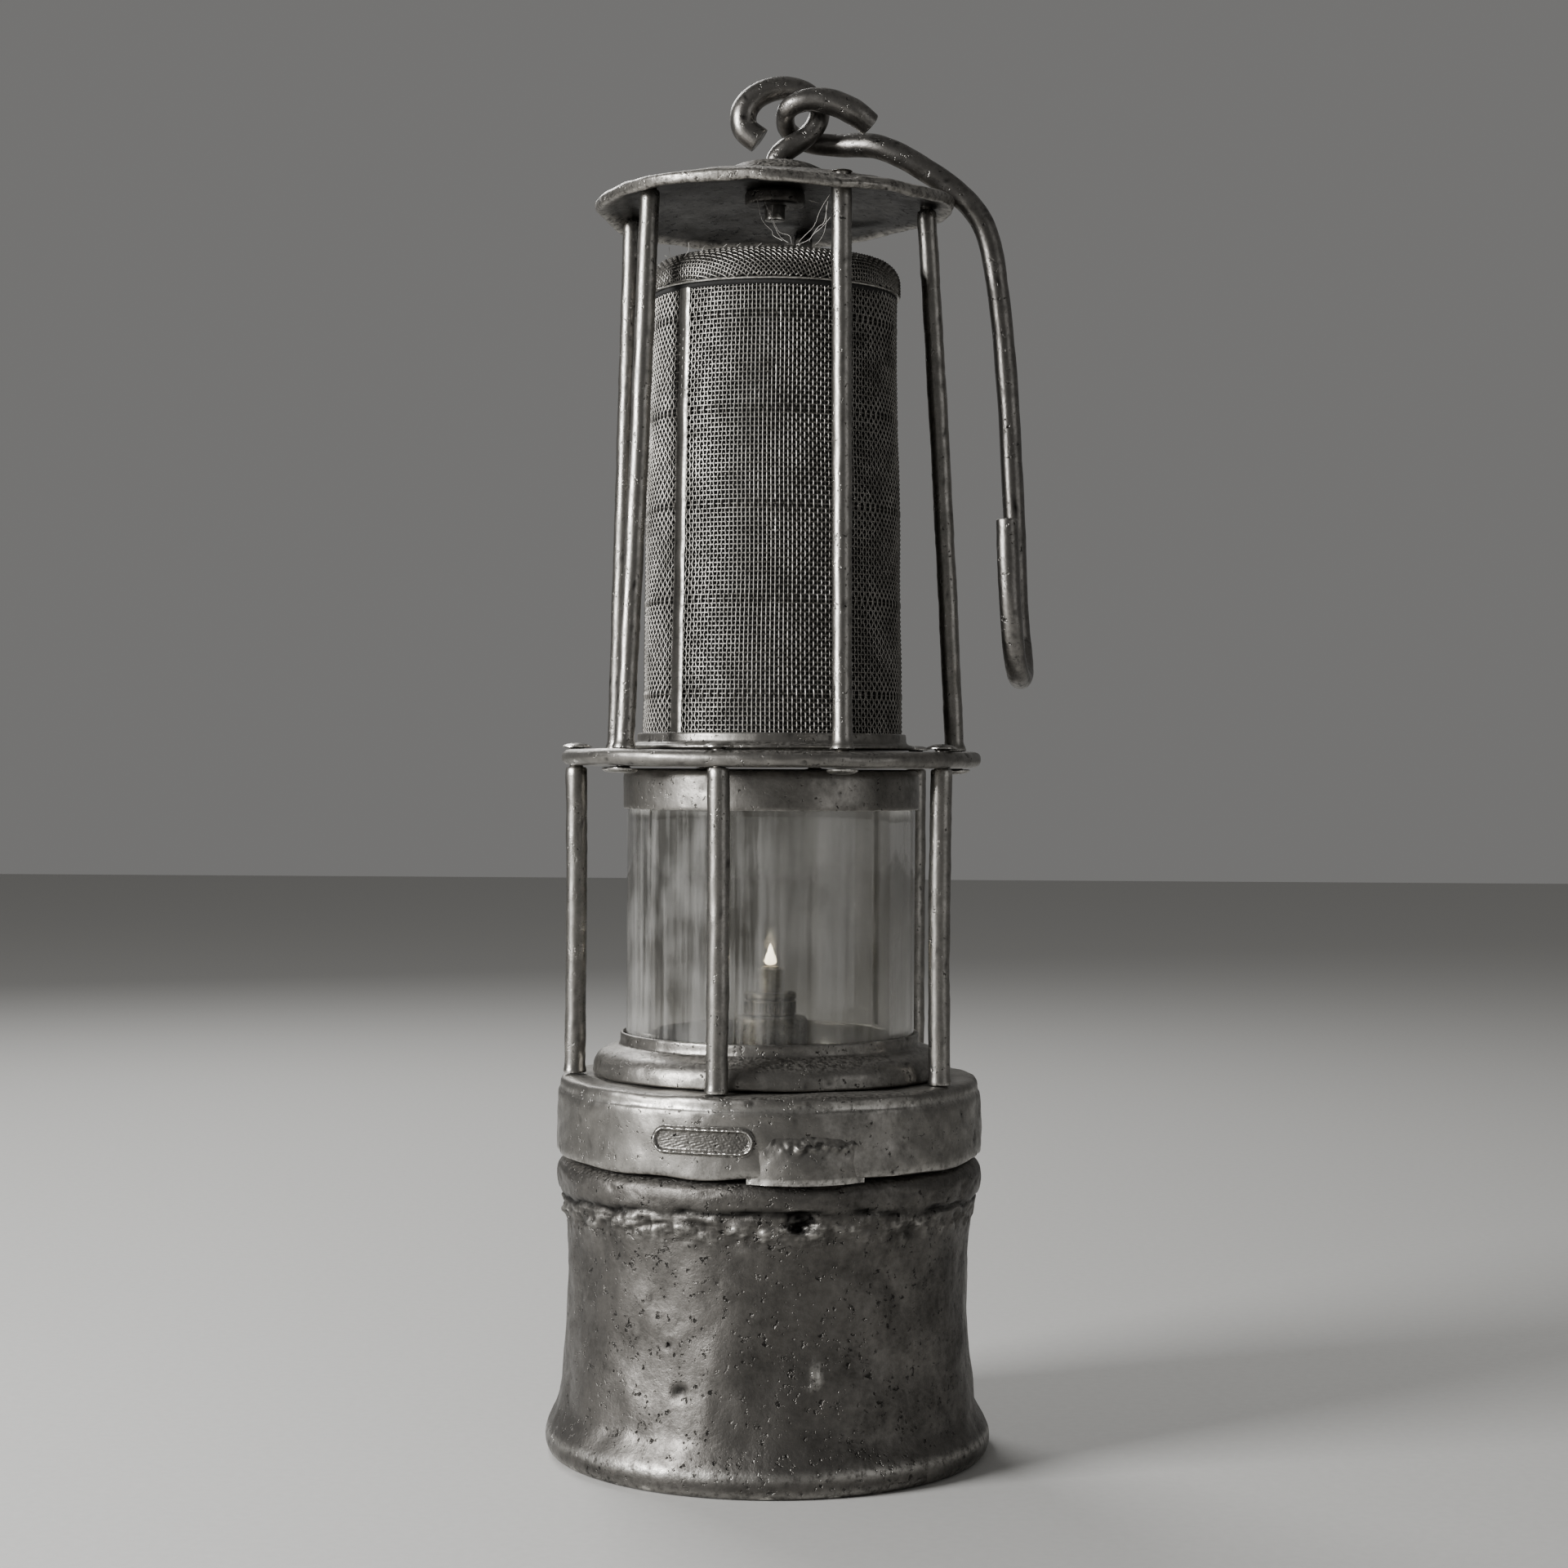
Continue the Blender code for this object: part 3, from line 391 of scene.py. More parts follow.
def outline_of(node, side=1, centre=(0, 0)):
    """The (r, z) outline of a turned CAD piece, from its edges in the XZ plane."""
    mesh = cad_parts[node].data
    keys = {}
    for vertex in mesh.vertices:
        x, y, z = vertex.co
        if abs(y - centre[1]) < 2e-5 and side * (x - centre[0]) > -1e-6:
            keys[vertex.index] = (round(abs(x - centre[0]) * 1e6), round(z * 1e6))
    links = {}
    for edge in mesh.edges:
        a, b = (keys.get(i) for i in edge.vertices)
        if a and b and a != b:
            links.setdefault(a, set()).add(b)
            links.setdefault(b, set()).add(a)
    ends = [k for k in links if len(links[k]) == 1]
    walk = [ends[0] if ends else min(links)]
    while True:
        ahead = [k for k in links[walk[-1]] if k not in walk]
        if not ahead:
            break
        walk.append(min(ahead, key=lambda k: abs(k[0] - walk[-1][0]) + abs(k[1] - walk[-1][1])))
    return [(r * 1e-6, z * 1e-6) for r, z in walk]


def soften(outline, reach=0.6, passes=2):
    """Cuts each corner off, at most this many mm from it. An outline from axis to axis stays open."""
    for _ in range(passes):
        opened = outline[0][0] < 1e-6 and outline[-1][0] < 1e-6
        cut = []
        for i, here in enumerate(outline):
            if opened and i in (0, len(outline) - 1):
                cut.append(here)
                continue
            for other in (outline[i - 1], outline[(i + 1) % len(outline)]):
                length = math.dist(here, other)
                share = min(0.25, reach * MM / max(length, 1e-9))
                cut.append(tuple(a + (b - a) * share for a, b in zip(here, other)))
        outline = cut
        reach /= 2
    return outline


def fill_in(outline, gap, fine=None):
    """Cuts long runs into pieces of about this many mm. Fine is (low z, high z, gap) in mm."""
    opened = outline[0][0] < 1e-6 and outline[-1][0] < 1e-6
    dense = []
    for i, here in enumerate(outline):
        dense.append(here)
        if opened and i == len(outline) - 1:
            break
        there = outline[(i + 1) % len(outline)]
        middle = (here[1] + there[1]) / 2 / MM
        step = fine[2] if fine and fine[0] < middle < fine[1] else gap
        parts = max(1, round(math.dist(here, there) / (step * MM)))
        dense += [tuple(a + (b - a) * k / parts for a, b in zip(here, there)) for k in range(1, parts)]
    return dense


LARGE_STEPS = 320  # how many steps the widest pieces are spun in, about 0.9 mm each


def turned(name, outline, steps, centre=(0, 0)):
    """The outline spun into a closed piece about an upright axis."""
    deselect()
    bpy.ops.mesh.primitive_circle_add(vertices=len(outline), radius=1, fill_type="NOTHING")
    piece = bpy.context.object
    piece.name = name
    for vertex, (r, z) in zip(piece.data.vertices, outline):
        vertex.co = (centre[0] + r, centre[1], z)
    edit_mode()
    pick_all()
    bpy.ops.mesh.spin(steps=steps, angle=TURN, center=(*centre, 0), axis=(0, 0, 1), use_auto_merge=True)
    pick_all()
    bpy.ops.mesh.remove_doubles(threshold=2e-6)
    bpy.ops.mesh.delete_loose(use_verts=True, use_edges=True, use_faces=False)
    pick_all()
    bpy.ops.mesh.normals_make_consistent(inside=False)
    object_mode()
    smooth_to(42)
    return piece


def drill(piece, node, play, low_z, high_z):
    """Bores an upright hole round a CAD node, with this much play, between two heights."""
    low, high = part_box(node)
    deselect()
    centre = (low.x + high.x) / 2, (low.y + high.y) / 2, (low_z + high_z) / 2
    radius = (high.x - low.x) / 2 + play
    bpy.ops.mesh.primitive_cylinder_add(vertices=24, radius=radius, depth=high_z - low_z, location=centre)
    cutter = bpy.context.object
    cut = piece.modifiers.new("bore", "BOOLEAN")
    cut.object = cutter
    cut.operation = "DIFFERENCE"
    bpy.context.view_layer.objects.active = piece
    bpy.ops.object.modifier_apply(modifier="bore")
    bpy.data.objects.remove(cutter)
    print(f"{piece.name}: bored for {node}")


def fit_out(piece, body, nodes, finish):
    """Gives a finished piece its material and its body, and hides the CAD nodes that it stands for."""
    piece.data.materials.clear()
    piece.data.materials.append(finish)
    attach(piece, body)
    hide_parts(*nodes)
    faces = sum(len(p.vertices) - 2 for p in piece.data.polygons)
    print(f"{piece.name}: {faces} triangles, rides on {body}")
    return piece


# %% [markdown]
# ## Shaping by hand
#
# In Sculpt Mode a maker would push dents and ripples into these surfaces with a brush. The same
# moves are made here in numbers: every point is taken out, moved by a rule, and put back.
#
# - ripple() is a sum of waves in random directions. It gives soft unevenness of one size.
# - spot() is one round or oval place, for a dent or a hole.
# - band_at() is a soft band, for a crevice or a worn line.
# - store() keeps a value on each point for the material, such as how deep a crevice is.

# %% Shaping helpers


def points_of(piece):
    flat = np.empty(len(piece.data.vertices) * 3, np.float64)
    piece.data.vertices.foreach_get("co", flat)
    return flat.reshape(-1, 3)


def put_points(piece, points):
    piece.data.vertices.foreach_set("co", np.ascontiguousarray(points, dtype=np.float32).ravel())
    piece.data.update()


def ripple(points, size, seed, waves=16):
    """Soft random waves of about this size in mm, mostly between -1 and 1."""
    chance = np.random.default_rng(seed)
    total = np.zeros(len(points))
    for _ in range(waves):
        way = chance.normal(size=3)
        way *= TURN / (np.linalg.norm(way) * size * MM * chance.uniform(0.7, 1.5))
        total += np.sin(points @ way + chance.uniform(0, TURN))
    return total / math.sqrt(waves)


def store(piece, name, values):
    attribute = piece.data.attributes.new(name, "FLOAT", "POINT")
    attribute.data.foreach_set("value", np.clip(values, 0, 1).astype(np.float32))


def round_view(points):
    """Each point's angle in degrees (the front is -90), radius and height in metres."""
    x, y, z = points.T
    return np.degrees(np.arctan2(y, x)), np.hypot(x, y), z


def spot(angle, z, at_angle, at_z, wide, high, radius):
    """1 in the middle of an oval spot on a cylinder and 0 outside. Sizes are half sizes in mm."""
    along = np.radians((angle - at_angle + 180) % 360 - 180) * radius / (wide * MM)
    up = (z - at_z * MM) / (high * MM)
    return np.clip(1 - along**2 - up**2, 0, 1)


def band_at(value, middle, half):
    """A soft band: 1 where value is in the middle, fading over this half width. All in mm."""
    return np.exp(-(((value - middle * MM) / (half * MM)) ** 2))


def push_out(points, amount):
    """Moves each point away from the lamp's axis by this much, in metres."""
    radius = np.maximum(np.hypot(points[:, 0], points[:, 1]), 1e-9)
    moved = points.copy()
    moved[:, 0] += points[:, 0] / radius * amount
    moved[:, 1] += points[:, 1] / radius * amount
    return moved


# %% [markdown]
# ## The pot
#
# The oil pot is sheet iron, drawn to a cup and swaged at the top. It has a flared foot, a straight
# body and a swelling shoulder, and its neck carries the thread for the collar. Below the shoulder
# runs a rough band: old solder, torn and rusted, with a dark crevice above it and one deep hole.
#
# The dents are of three sizes: broad ones from falls, hammer marks of 4 to 8 mm, and the grain
# that the material adds. One gouge is low on the left, and one curved nick is right of the middle.

# %% Pot
pot = turned("pot", fill_in(soften(outline_of("vessel_shell"), 0.9), 1.3, (46, 57, 0.5)), LARGE_STEPS)
points = points_of(pot)
angle, radius, z = round_view(points)
outside = (radius > 40.6 * MM).astype(float)
body_fade = np.clip((z - 3 * MM) / (5 * MM), 0, 1) * np.clip((60 * MM - z) / (3 * MM), 0, 1)
dents = 0.30 * ripple(points, 26, 1) + 0.15 * ripple(points, 11, 2) + 0.06 * ripple(points, 4.5, 3)
push = body_fade * dents
# the torn band, strongest at the front left
around = 0.48 + 0.52 * np.cos(np.radians(angle + 122))
crack_z = (54.9 - 1.9 * (1 - np.cos(np.radians(angle + 90)))) * MM + 0.4 * MM * ripple(points, 7, 7)
band_z = crack_z - 3.2 * MM + 0.5 * MM * np.sin(np.radians(angle * 5))
band = np.exp(-(((z - band_z) / (2.6 * MM)) ** 2)) * (0.25 + 0.75 * around)
flakes = ripple(points, 1.5, 5) * 0.6 + ripple(points, 3.2, 6) * 0.7
push += outside * band * 0.55 * flakes
crack = np.exp(-(((z - crack_z) / (0.55 * MM)) ** 2))
crack = crack * np.clip(0.3 + 0.8 * around + 0.5 * ripple(points, 12, 8), 0, 1)
push -= outside * crack * 1.0
# the deep hole, the gouge, the pit and the nick
hole = spot(angle, z, -81.5, 53.4, 3.4, 2.4, 43 * MM)
gouge = spot(angle, z, -113.9, 19.5, 2.0, 1.1, 43.5 * MM)
pit = spot(angle, z, -117.7, 28.3, 0.9, 0.9, 43 * MM)
pit = np.maximum(pit, spot(angle, z, -124, 37.0, 0.7, 0.8, 43 * MM))
nick = spot(angle, z, -77.4, 23.3, 1.9, 3.2, 43 * MM)
nick = np.clip(nick - 1.4 * spot(angle, z, -79.6, 23.8, 1.8, 3.0, 43 * MM), 0, 1)
push -= outside * (2.1 * np.minimum(hole * 2, 1) + 0.7 * np.minimum(gouge * 2, 1) + 0.5 * pit - 0.6 * nick)
# shoulder pits
shoulder = band_at(z, 58.5, 3) * (radius > 42 * MM)
push -= outside * shoulder * 0.20 * np.clip(ripple(points, 2.4, 9) - 0.3, 0, 2)
# the neck's thread, 3 mm from turn to turn, cut inwards
neck = (z > 62.6 * MM) & (z < 71.5 * MM) & (radius > 38 * MM)
thread = np.abs(((z / (3 * MM) - angle / 360) % 1) - 0.5) * 2
pot_points = push_out(points, push * MM - neck * thread * 0.5 * MM)
put_points(pot, pot_points)
store(pot, "hollow_and_shade", outside * (np.clip(crack * 1.3, 0, 1) + hole * 3 + gouge * 1.2 + pit
                                + 0.45 * band * np.clip(-flakes, 0, 1)))
# the foot's bead and lower edge get a painted highlight, partly rubbed wear
foot_line = (band_at(z, 4.6, 0.8) + 0.6 * band_at(z, 1.0, 0.8)) * (radius > 44.5 * MM)
store(pot, "worn_and_highlight", outside * (0.55 * band * np.clip(flakes, 0, 1) + 0.55 * foot_line + nick * 1.2))
fit_out(pot, "vessel", ["vessel_shell"], pot_iron)

# %% [markdown]
# ## The collar
#
# The collar is a heavy steel ring with an inside thread. It carries the whole cage. Years of
# turning it by hand have worn it bright and given its lower edge a slight wave. It is spun from
# its outline, bored for the lock bolt, and the wave and a few knocks are pushed in.

# %% Collar
collar = turned("collar", fill_in(soften(outline_of("collar_ring"), 0.8), 1.2, (61.5, 64, 0.5)), LARGE_STEPS)
bolt_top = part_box("lock_bolt")[1].z
bolt_play = 0.35 * MM
drill(collar, "lock_bolt", bolt_play, bolt_top - 12 * MM, bolt_top + 0.3 * MM)
points = points_of(collar)
angle, radius, z = round_view(points)
outer = np.clip((radius - 41.5 * MM) / (1.5 * MM), 0, 1)
wave = 0.16 * ripple(points, 15, 21) + 0.07 * ripple(points, 4, 22)
moved = push_out(points, outer * wave * MM)
low_edge = np.clip((64 * MM - z) / (2 * MM), 0, 1)
moved[:, 2] += low_edge * outer * (0.35 * ripple(points, 22, 23) - 0.1) * MM
moved[:, 2] += np.clip((z - 76 * MM) / (1.5 * MM), 0, 1) * 0.14 * ripple(points, 12, 24) * MM
knock = np.clip(ripple(points, 3.0, 25) - 1.25, 0, 1) * outer
moved = push_out(moved, -knock * 0.5 * MM)
put_points(collar, moved)
store(collar, "hollow_and_shade", knock * 0.8)
# the band 75.4 mm up is a painted highlight along the top step, partly wear; the lower edge is rubbed wear
store(collar, "worn_and_highlight", outer * (band_at(z, 75.4, 0.7) * 0.5 + low_edge * 0.4))
fit_out(collar, "cage", ["collar_ring"], frame_steel)

# %% [markdown]
# ## Plates that follow the collar
#
# The number plate and the lock's housing both lie on the round collar. Each is a flat grid that is
# wrapped round the collar, with a height for each of its points, and closed by Solidify.

# %% Wrapping a grid round the collar
collar_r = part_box("collar_ring")[1].x


def wrapped(name, columns, rows, shape, thick):
    """A grid of values u, v in -1..1. shape(u, v) gives arc length from -Y, height z, and radius."""
    deselect()
    bpy.ops.mesh.primitive_grid_add(x_subdivisions=columns, y_subdivisions=rows, size=2)
    piece = bpy.context.object
    piece.name = name
    flat = points_of(piece)
    along, z, radius = shape(flat[:, 0], flat[:, 1])
    turn = along / collar_r
    put_points(piece, np.stack([radius * np.cos(turn), radius * np.sin(turn), z], 1))
    edit_mode()
    pick_all()
    bpy.ops.mesh.remove_doubles(threshold=1e-5)
    object_mode()
    solid = piece.modifiers.new("thickness", "SOLIDIFY")
    solid.thickness = thick
    solid.offset = -1
    bpy.ops.object.modifier_apply(modifier="thickness")
    smooth_to(50)
    return piece


# %% [markdown]
# ## The number plate
#
# A small plate with round ends is brazed to the front, where a lamp's number was stamped. Its
# braze has left a raised ragged border, and its face is rough and blank.

# %% Number plate
low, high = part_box("number_plate")
plate_z = (low.z + high.z) / 2
PLATE_ANGLE = math.radians(-107.0)
plate_half = 10.6 * MM
plate_tall = (high.z - low.z) / 2
plate_middle = PLATE_ANGLE * collar_r


def plate_shape(u, v):
    straight = plate_half - plate_tall
    along = np.sin(u * math.pi / 2) * plate_half
    past = np.clip((np.abs(along) - straight) / plate_tall, 0, 1)
    half = plate_tall * np.sqrt(1 - past**2)
    z = v * half
    inside = plate_tall - np.hypot(np.clip(np.abs(along) - straight, 0, 1), z)
    border = band_at(inside, 0.62, 0.36)
    rough = np.stack([along, z, 0 * z], 1)
    face = 0.03 * ripple(rough, 0.55, 32) * (1 - border)
    raise_by = 0.06 + border * (0.62 + 0.12 * ripple(rough, 1.3, 31)) + face
    return plate_middle + along, plate_z + z, collar_r + (0.12 + raise_by) * MM


number_plate = wrapped("number_plate_face", 170, 56, plate_shape, 0.35 * MM)
points = points_of(number_plate)
angle, radius, z = round_view(points)
rise = (radius - collar_r) / MM
store(number_plate, "worn_and_highlight", np.clip((rise - 0.55) / 0.25, 0, 1))
store(number_plate, "hollow_and_shade", np.clip((0.34 - rise) / 0.2, 0, 1) * 0.55)
fit_out(number_plate, "cage", ["number_plate"], frame_steel)

# %% [markdown]
# ## The lock's housing
#
# Right of the plate the collar swells over the lock bolt. The swelling is smooth where it has been
# filed, with a rough bead of weld along its top and pits above the bead. Its lower lip hangs just
# below the collar.

# %% Lock housing
low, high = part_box("lock_housing")
lock_z, lock_tall = (low.z + high.z) / 2, (high.z - low.z) / 2
LOCK_ANGLE, LOCK_HALF_ANGLE = math.radians(-80.0), math.radians(11.5)
lock_half = LOCK_HALF_ANGLE * collar_r
lock_middle = LOCK_ANGLE * collar_r


def lock_shape(u, v):
    along, z = u * lock_half * 1.35, v * lock_tall * 1.12
    flat = np.stack([along, z, 0 * z], 1)
    swell = np.clip(1 - u**2, 0, 1) ** 1.3 * np.clip(1 - (np.clip(v + 0.45, 0, 2) / 1.45) ** 2, 0, 1)
    bead_at = 2.6 * MM - 0.9 * MM * (u - 0.2) ** 2
    bead = band_at(z - bead_at, 0, 0.9) * np.clip((u + 0.55) * 3, 0, 1) * np.clip((0.95 - u) * 4, 0, 1)
    holes = np.clip(ripple(flat, 2.2, 41) - 0.5, 0, 1) * np.clip((z / MM - 1.2) / 1.5, 0, 1)
    rough = bead * (0.5 + 0.3 * ripple(flat, 1.7, 42)) - 0.6 * holes * swell
    rise = 2.5 * swell + rough + 0.04 * ripple(flat, 3, 43)
    return lock_middle + along, lock_z + z, collar_r + (rise - 0.75) * MM


lock_housing = wrapped("lock_swelling", 90, 56, lock_shape, 0.5 * MM)
points = points_of(lock_housing)
points[:, 2] = np.maximum(points[:, 2], low.z - 0.4 * MM)
put_points(lock_housing, points)
angle, radius, z = round_view(points)
upper = np.clip((z - lock_z) / (1.5 * MM), 0, 1)
store(lock_housing, "hollow_and_shade", upper * np.clip(ripple(points, 1.8, 44), 0, 1) * 0.7)
# the lip is painted bright: a painted highlight, partly rubbed wear
store(lock_housing, "worn_and_highlight", np.clip((low.z + 0.9 * MM - z) / (0.5 * MM), 0, 1) * 0.7)
fit_out(lock_housing, "cage", ["lock_housing"], frame_steel)

# %% [markdown]
# ## The rings that hold the glass
#
# A stepped seat below, a plain cap ring above, and the middle ring that ties the two rows of
# pillars together. All are turned. The middle ring's rim is rolled and slightly warped.

# %% Rings


def worn_ring(name, node, finish, gap, steps=288, size=0.07, reach=0.5, side=1, body="cage",
              seed=50):
    """A ring from its CAD outline with softened corners and a little unevenness."""
    ring = turned(name, fill_in(soften(outline_of(node, side), reach), gap), steps)
    points = points_of(ring)
    uneven = size * (ripple(points, 14, seed) + 0.5 * ripple(points, 3.5, seed + 1))
    knock = np.clip(ripple(points, 2.6, seed + 2) - 1.3, 0, 1)
    put_points(ring, push_out(points, (uneven - 0.35 * knock) * MM))
    store(ring, "hollow_and_shade", knock * 0.9)
    return fit_out(ring, body, [node], finish)


worn_ring("seat_ring", "glass_seat", frame_steel, 0.9, size=0.09, seed=51)
worn_ring("glass_cap_ring", "upper_glass_ring", frame_steel, 0.9, size=0.05, seed=55)
middle = worn_ring("pillar_ring", "middle_ring", frame_steel, 0.8,
                   size=0.12, reach=0.4, side=-1, seed=59)
points = points_of(middle)
angle, radius, z = round_view(points)
warp = np.clip((radius - 34 * MM) / (9 * MM), 0, 1)
points[:, 2] += warp * (0.22 * np.sin(np.radians(angle * 2 + 40)) + 0.10 * ripple(points, 18, 60)) * MM
put_points(middle, points)
worn_ring("gauze_foot_ring", "gauze_ring", frame_steel, 0.8, size=0.05, seed=63)

# %% [markdown]
# ## The glass
#
# A plain tube with walls 5 mm thick, ground flat at both ends. It is spun from its outline, so
# its inner and outer walls are one closed skin, as glass needs to bend light the right way.

# %% Lamp glass
glass = turned("lamp_glass", fill_in(soften(outline_of("glass"), 0.5), 6), 192)
fit_out(glass, "cage", ["glass"], lamp_glass)

# %% [markdown]
# ## The pillars
#
# Five steel rods stand between the collar and the middle ring, and five longer ones lean in from
# the middle ring to the top plate. Each ends in a thin tenon that is hammered to a head. One rod
# of each kind is modelled as an outline about its own axis, then turned into place. Hand-made
# rods are never quite straight, so each is bent and pitted a little in its own way.

# %% Pillars


def rod_between(name, foot, head, heads, seed):
    """A rod from foot to head, with (distance along, radius) points in mm for each end's shape."""
    foot, head = Vector(foot), Vector(head)
    length = (head - foot).length
    low_end, high_end = heads
    outline = [(r * MM, t * MM) for t, r in low_end] + [(r * MM, length + t * MM) for t, r in high_end]
    rod = turned(name, fill_in(soften(outline, 0.35, 1), 1.4), 20)
    points = points_of(rod)
    share = points[:, 2] / length
    chance = np.random.default_rng(seed)
    bow = np.sin(np.pi * np.clip(share, 0, 1))[:, None] * chance.uniform(-0.32, 0.32, 2) * MM
    around = np.stack([points[:, 0], points[:, 1]], 1)
    lumps = 1 + 0.025 * ripple(points, 9, seed + 1) + 0.018 * ripple(points, 2.5, seed + 2)
    points[:, :2] = around * lumps[:, None] + bow
    put_points(rod, points)
    place = Matrix.Translation(foot) @ (head - foot).to_track_quat("Z", "Y").to_matrix().to_4x4()
    rod.data.transform(place)
    moved = points_of(rod)
    store(rod, "hollow_and_shade", np.clip(ripple(moved, 1.7, seed + 3) - 1.1, 0, 1) * 0.9)
    return rod


def ends_of(node):
    """The middle of a CAD pillar's lowest and highest points."""
    cloud = np.array([v.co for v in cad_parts[node].data.vertices])
    bottom = cloud[cloud[:, 2] < cloud[:, 2].min() + 0.5 * MM]
    top = cloud[cloud[:, 2] > cloud[:, 2].max() - 0.25 * MM]
    return (bottom.min(0) + bottom.max(0)) / 2, (top.min(0) + top.max(0)) / 2


ring_low, ring_high = (p.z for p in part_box("middle_ring"))
for number in range(1, 6):
    node = f"lower_pillar_{number}"
    low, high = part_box(node)
    x, y = (low.x + high.x) / 2, (low.y + high.y) / 2
    foot_end = [(0, 0), (0, 2.35), (0.5, 2.45), (1.6, 2.2)]
    head_end = [(-0.3, 2.2), (-0.2, 1.3), (3.75, 1.3), (3.8, 3.1), (4.2, 3.0), (4.7, 1.7), (4.85, 0)]
    ends = (foot_end, head_end)
    rod = rod_between(f"lower_rod_{number}", (x, y, low.z), (x, y, ring_low), ends, 70 + number)
    fit_out(rod, "cage", [node], pillar_steel)

for number in range(1, 6):
    node = f"upper_pillar_{number}"
    foot, head = ends_of(node)
    foot[2] = ring_high
    foot_end = [(-4.6, 0), (-4.6, 2.3), (-4.1, 3.1), (-3.7, 3.1), (-3.65, 1.3)]
    foot_end += [(0.1, 1.3), (0.15, 2.5), (0.9, 2.35), (1.8, 2.0)]
    head_end = [(-4.7, 2.0), (-4.6, 1.3), (-2.75, 1.3), (-2.65, 2.2), (-2.4, 1.9), (-2.25, 0)]
    rod = rod_between(f"upper_rod_{number}", foot, head, (foot_end, head_end), 80 + number)
    fit_out(rod, "cage", [node], pillar_steel)

# %% [markdown]
# ## The gauze
#
# The gauze is what makes the lamp safe: steel wire woven so close that a flame can't pass. Here a
# wire crosses another about every 0.9 mm, and each goes over one and under the next. A painted
# pattern would look flat at the edge of the cylinder, where the real wires stand out like teeth,
# so the wires are modelled.
#
# One pair of wires is made flat: a thin rod with four sides, cut once at each crossing and set to
# and fro. The Array modifier repeats the pair, and the flat cloth is then rolled by a rule. A
# weave this fine is drawn slightly coarser than such gauze can be, so that it shows.

# %% Flat woven wires
WIRE = 0.20 * MM


def wire_cloth(name, wires, crossings, pitch, step, phase, sway):
    """Flat wires along Z, side by side along X: pitch apart, with a crossing at every step."""
    pair = []
    for side in (0, 1):
        deselect()
        bpy.ops.mesh.primitive_cylinder_add(vertices=4, radius=WIRE, depth=step * crossings)
        wire = bpy.context.object
        edit_mode()
        bpy.ops.mesh.select_mode(type="EDGE")
        pick_none()
        object_mode()
        for edge in wire.data.edges:
            a, b = (wire.data.vertices[i].co.z for i in edge.vertices)
            edge.select = abs(a - b) > step
        edit_mode()
        bpy.ops.mesh.subdivide(number_cuts=crossings - 1)
        bpy.ops.mesh.select_mode(type="VERT")
        object_mode()
        points = points_of(wire)
        points[:, 2] += step * crossings / 2
        count = np.round(points[:, 2] / step).astype(int)
        points[:, 0] += side * pitch
        points[:, 1] += sway * np.where((count + side + phase) % 2, -1.0, 1.0)
        put_points(wire, points)
        pair.append(wire)
    select_only(*pair)
    bpy.ops.object.join()
    cloth = bpy.context.object
    cloth.name = name
    array = cloth.modifiers.new("repeat", "ARRAY")
    array.count = wires // 2
    array.use_relative_offset = False
    array.use_constant_offset = True
    array.constant_offset_displace = (2 * pitch, 0, 0)
    bpy.ops.object.modifier_apply(modifier="repeat")
    bpy.ops.object.shade_smooth()
    return cloth


def stand_up(cloth):
    """Turns a cloth of upright wires into one of level wires."""
    points = points_of(cloth)
    put_points(cloth, np.stack([points[:, 2], points[:, 1], points[:, 0]], 1))
    select_only(cloth)
    edit_mode()
    pick_all()
    bpy.ops.mesh.flip_normals()
    object_mode()


# %% [markdown]
# ## Rolling the gauze
#
# The cloth becomes a cylinder that narrows towards the top. X turns into the angle and Y into the
# distance from the wall. It is slightly wavy, as thin gauze is after many cleanings.

# %% Gauze cylinder
low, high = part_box("gauze")
wall_low, wall_high = low.z, high.z
foot_r, head_r = 27.1 * MM, 25.15 * MM
UPRIGHTS, ROWS = 190, 106
pitch = TURN * foot_r / UPRIGHTS
row_step = (wall_high - wall_low) / ROWS
SEAM = math.radians(-136)


def roll(cloth, inset):
    """Rolls a flat cloth into the gauze's wall, this far inside its outer face."""
    points = points_of(cloth)
    share = points[:, 2] / (wall_high - wall_low)
    wall = foot_r + (head_r - foot_r) * share
    turn = SEAM + points[:, 0] / foot_r
    flat = np.stack([wall * np.cos(turn), wall * np.sin(turn), points[:, 2]], 1)
    wall = wall + (0.20 * ripple(flat, 34, 91) + 0.07 * ripple(flat, 12, 92)) * MM - inset
    wall = wall + points[:, 1]
    turn += 0.004 * ripple(flat, 40, 93)
    put_points(cloth, np.stack([wall * np.cos(turn), wall * np.sin(turn), wall_low + points[:, 2]], 1))


uprights = wire_cloth("gauze_uprights", UPRIGHTS, ROWS, pitch, row_step, 0, 0.21 * MM)
roll(uprights, 0.28 * MM)
fit_out(uprights, "cage", ["gauze"], wire_steel)
levels = wire_cloth("gauze_levels", ROWS, UPRIGHTS, row_step, pitch, 1, 0.09 * MM)
stand_up(levels)
roll(levels, 0.40 * MM)
fit_out(levels, "cage", ["gauze"], wire_steel)

# %% [markdown]
# ## Black lining and seam
#
# Behind the wires the lamp is black. A thin black tube stands in for the sooty inner gauze
# that such lamps have; being solid, it also paints the shade behind the wires. The gauze's two edges overlap
# in an upright folded seam, front left.

# %% Lining and seam
inner = [(24.6 * MM, wall_low + MM), (25.5 * MM, wall_low + MM)]
inner += [(23.9 * MM, wall_high), (23.2 * MM, wall_high)]
lining = turned("inner_gauze_soot_and_shade", fill_in(inner, 8), 96)
fit_out(lining, "cage", [], soot_and_shade_black)

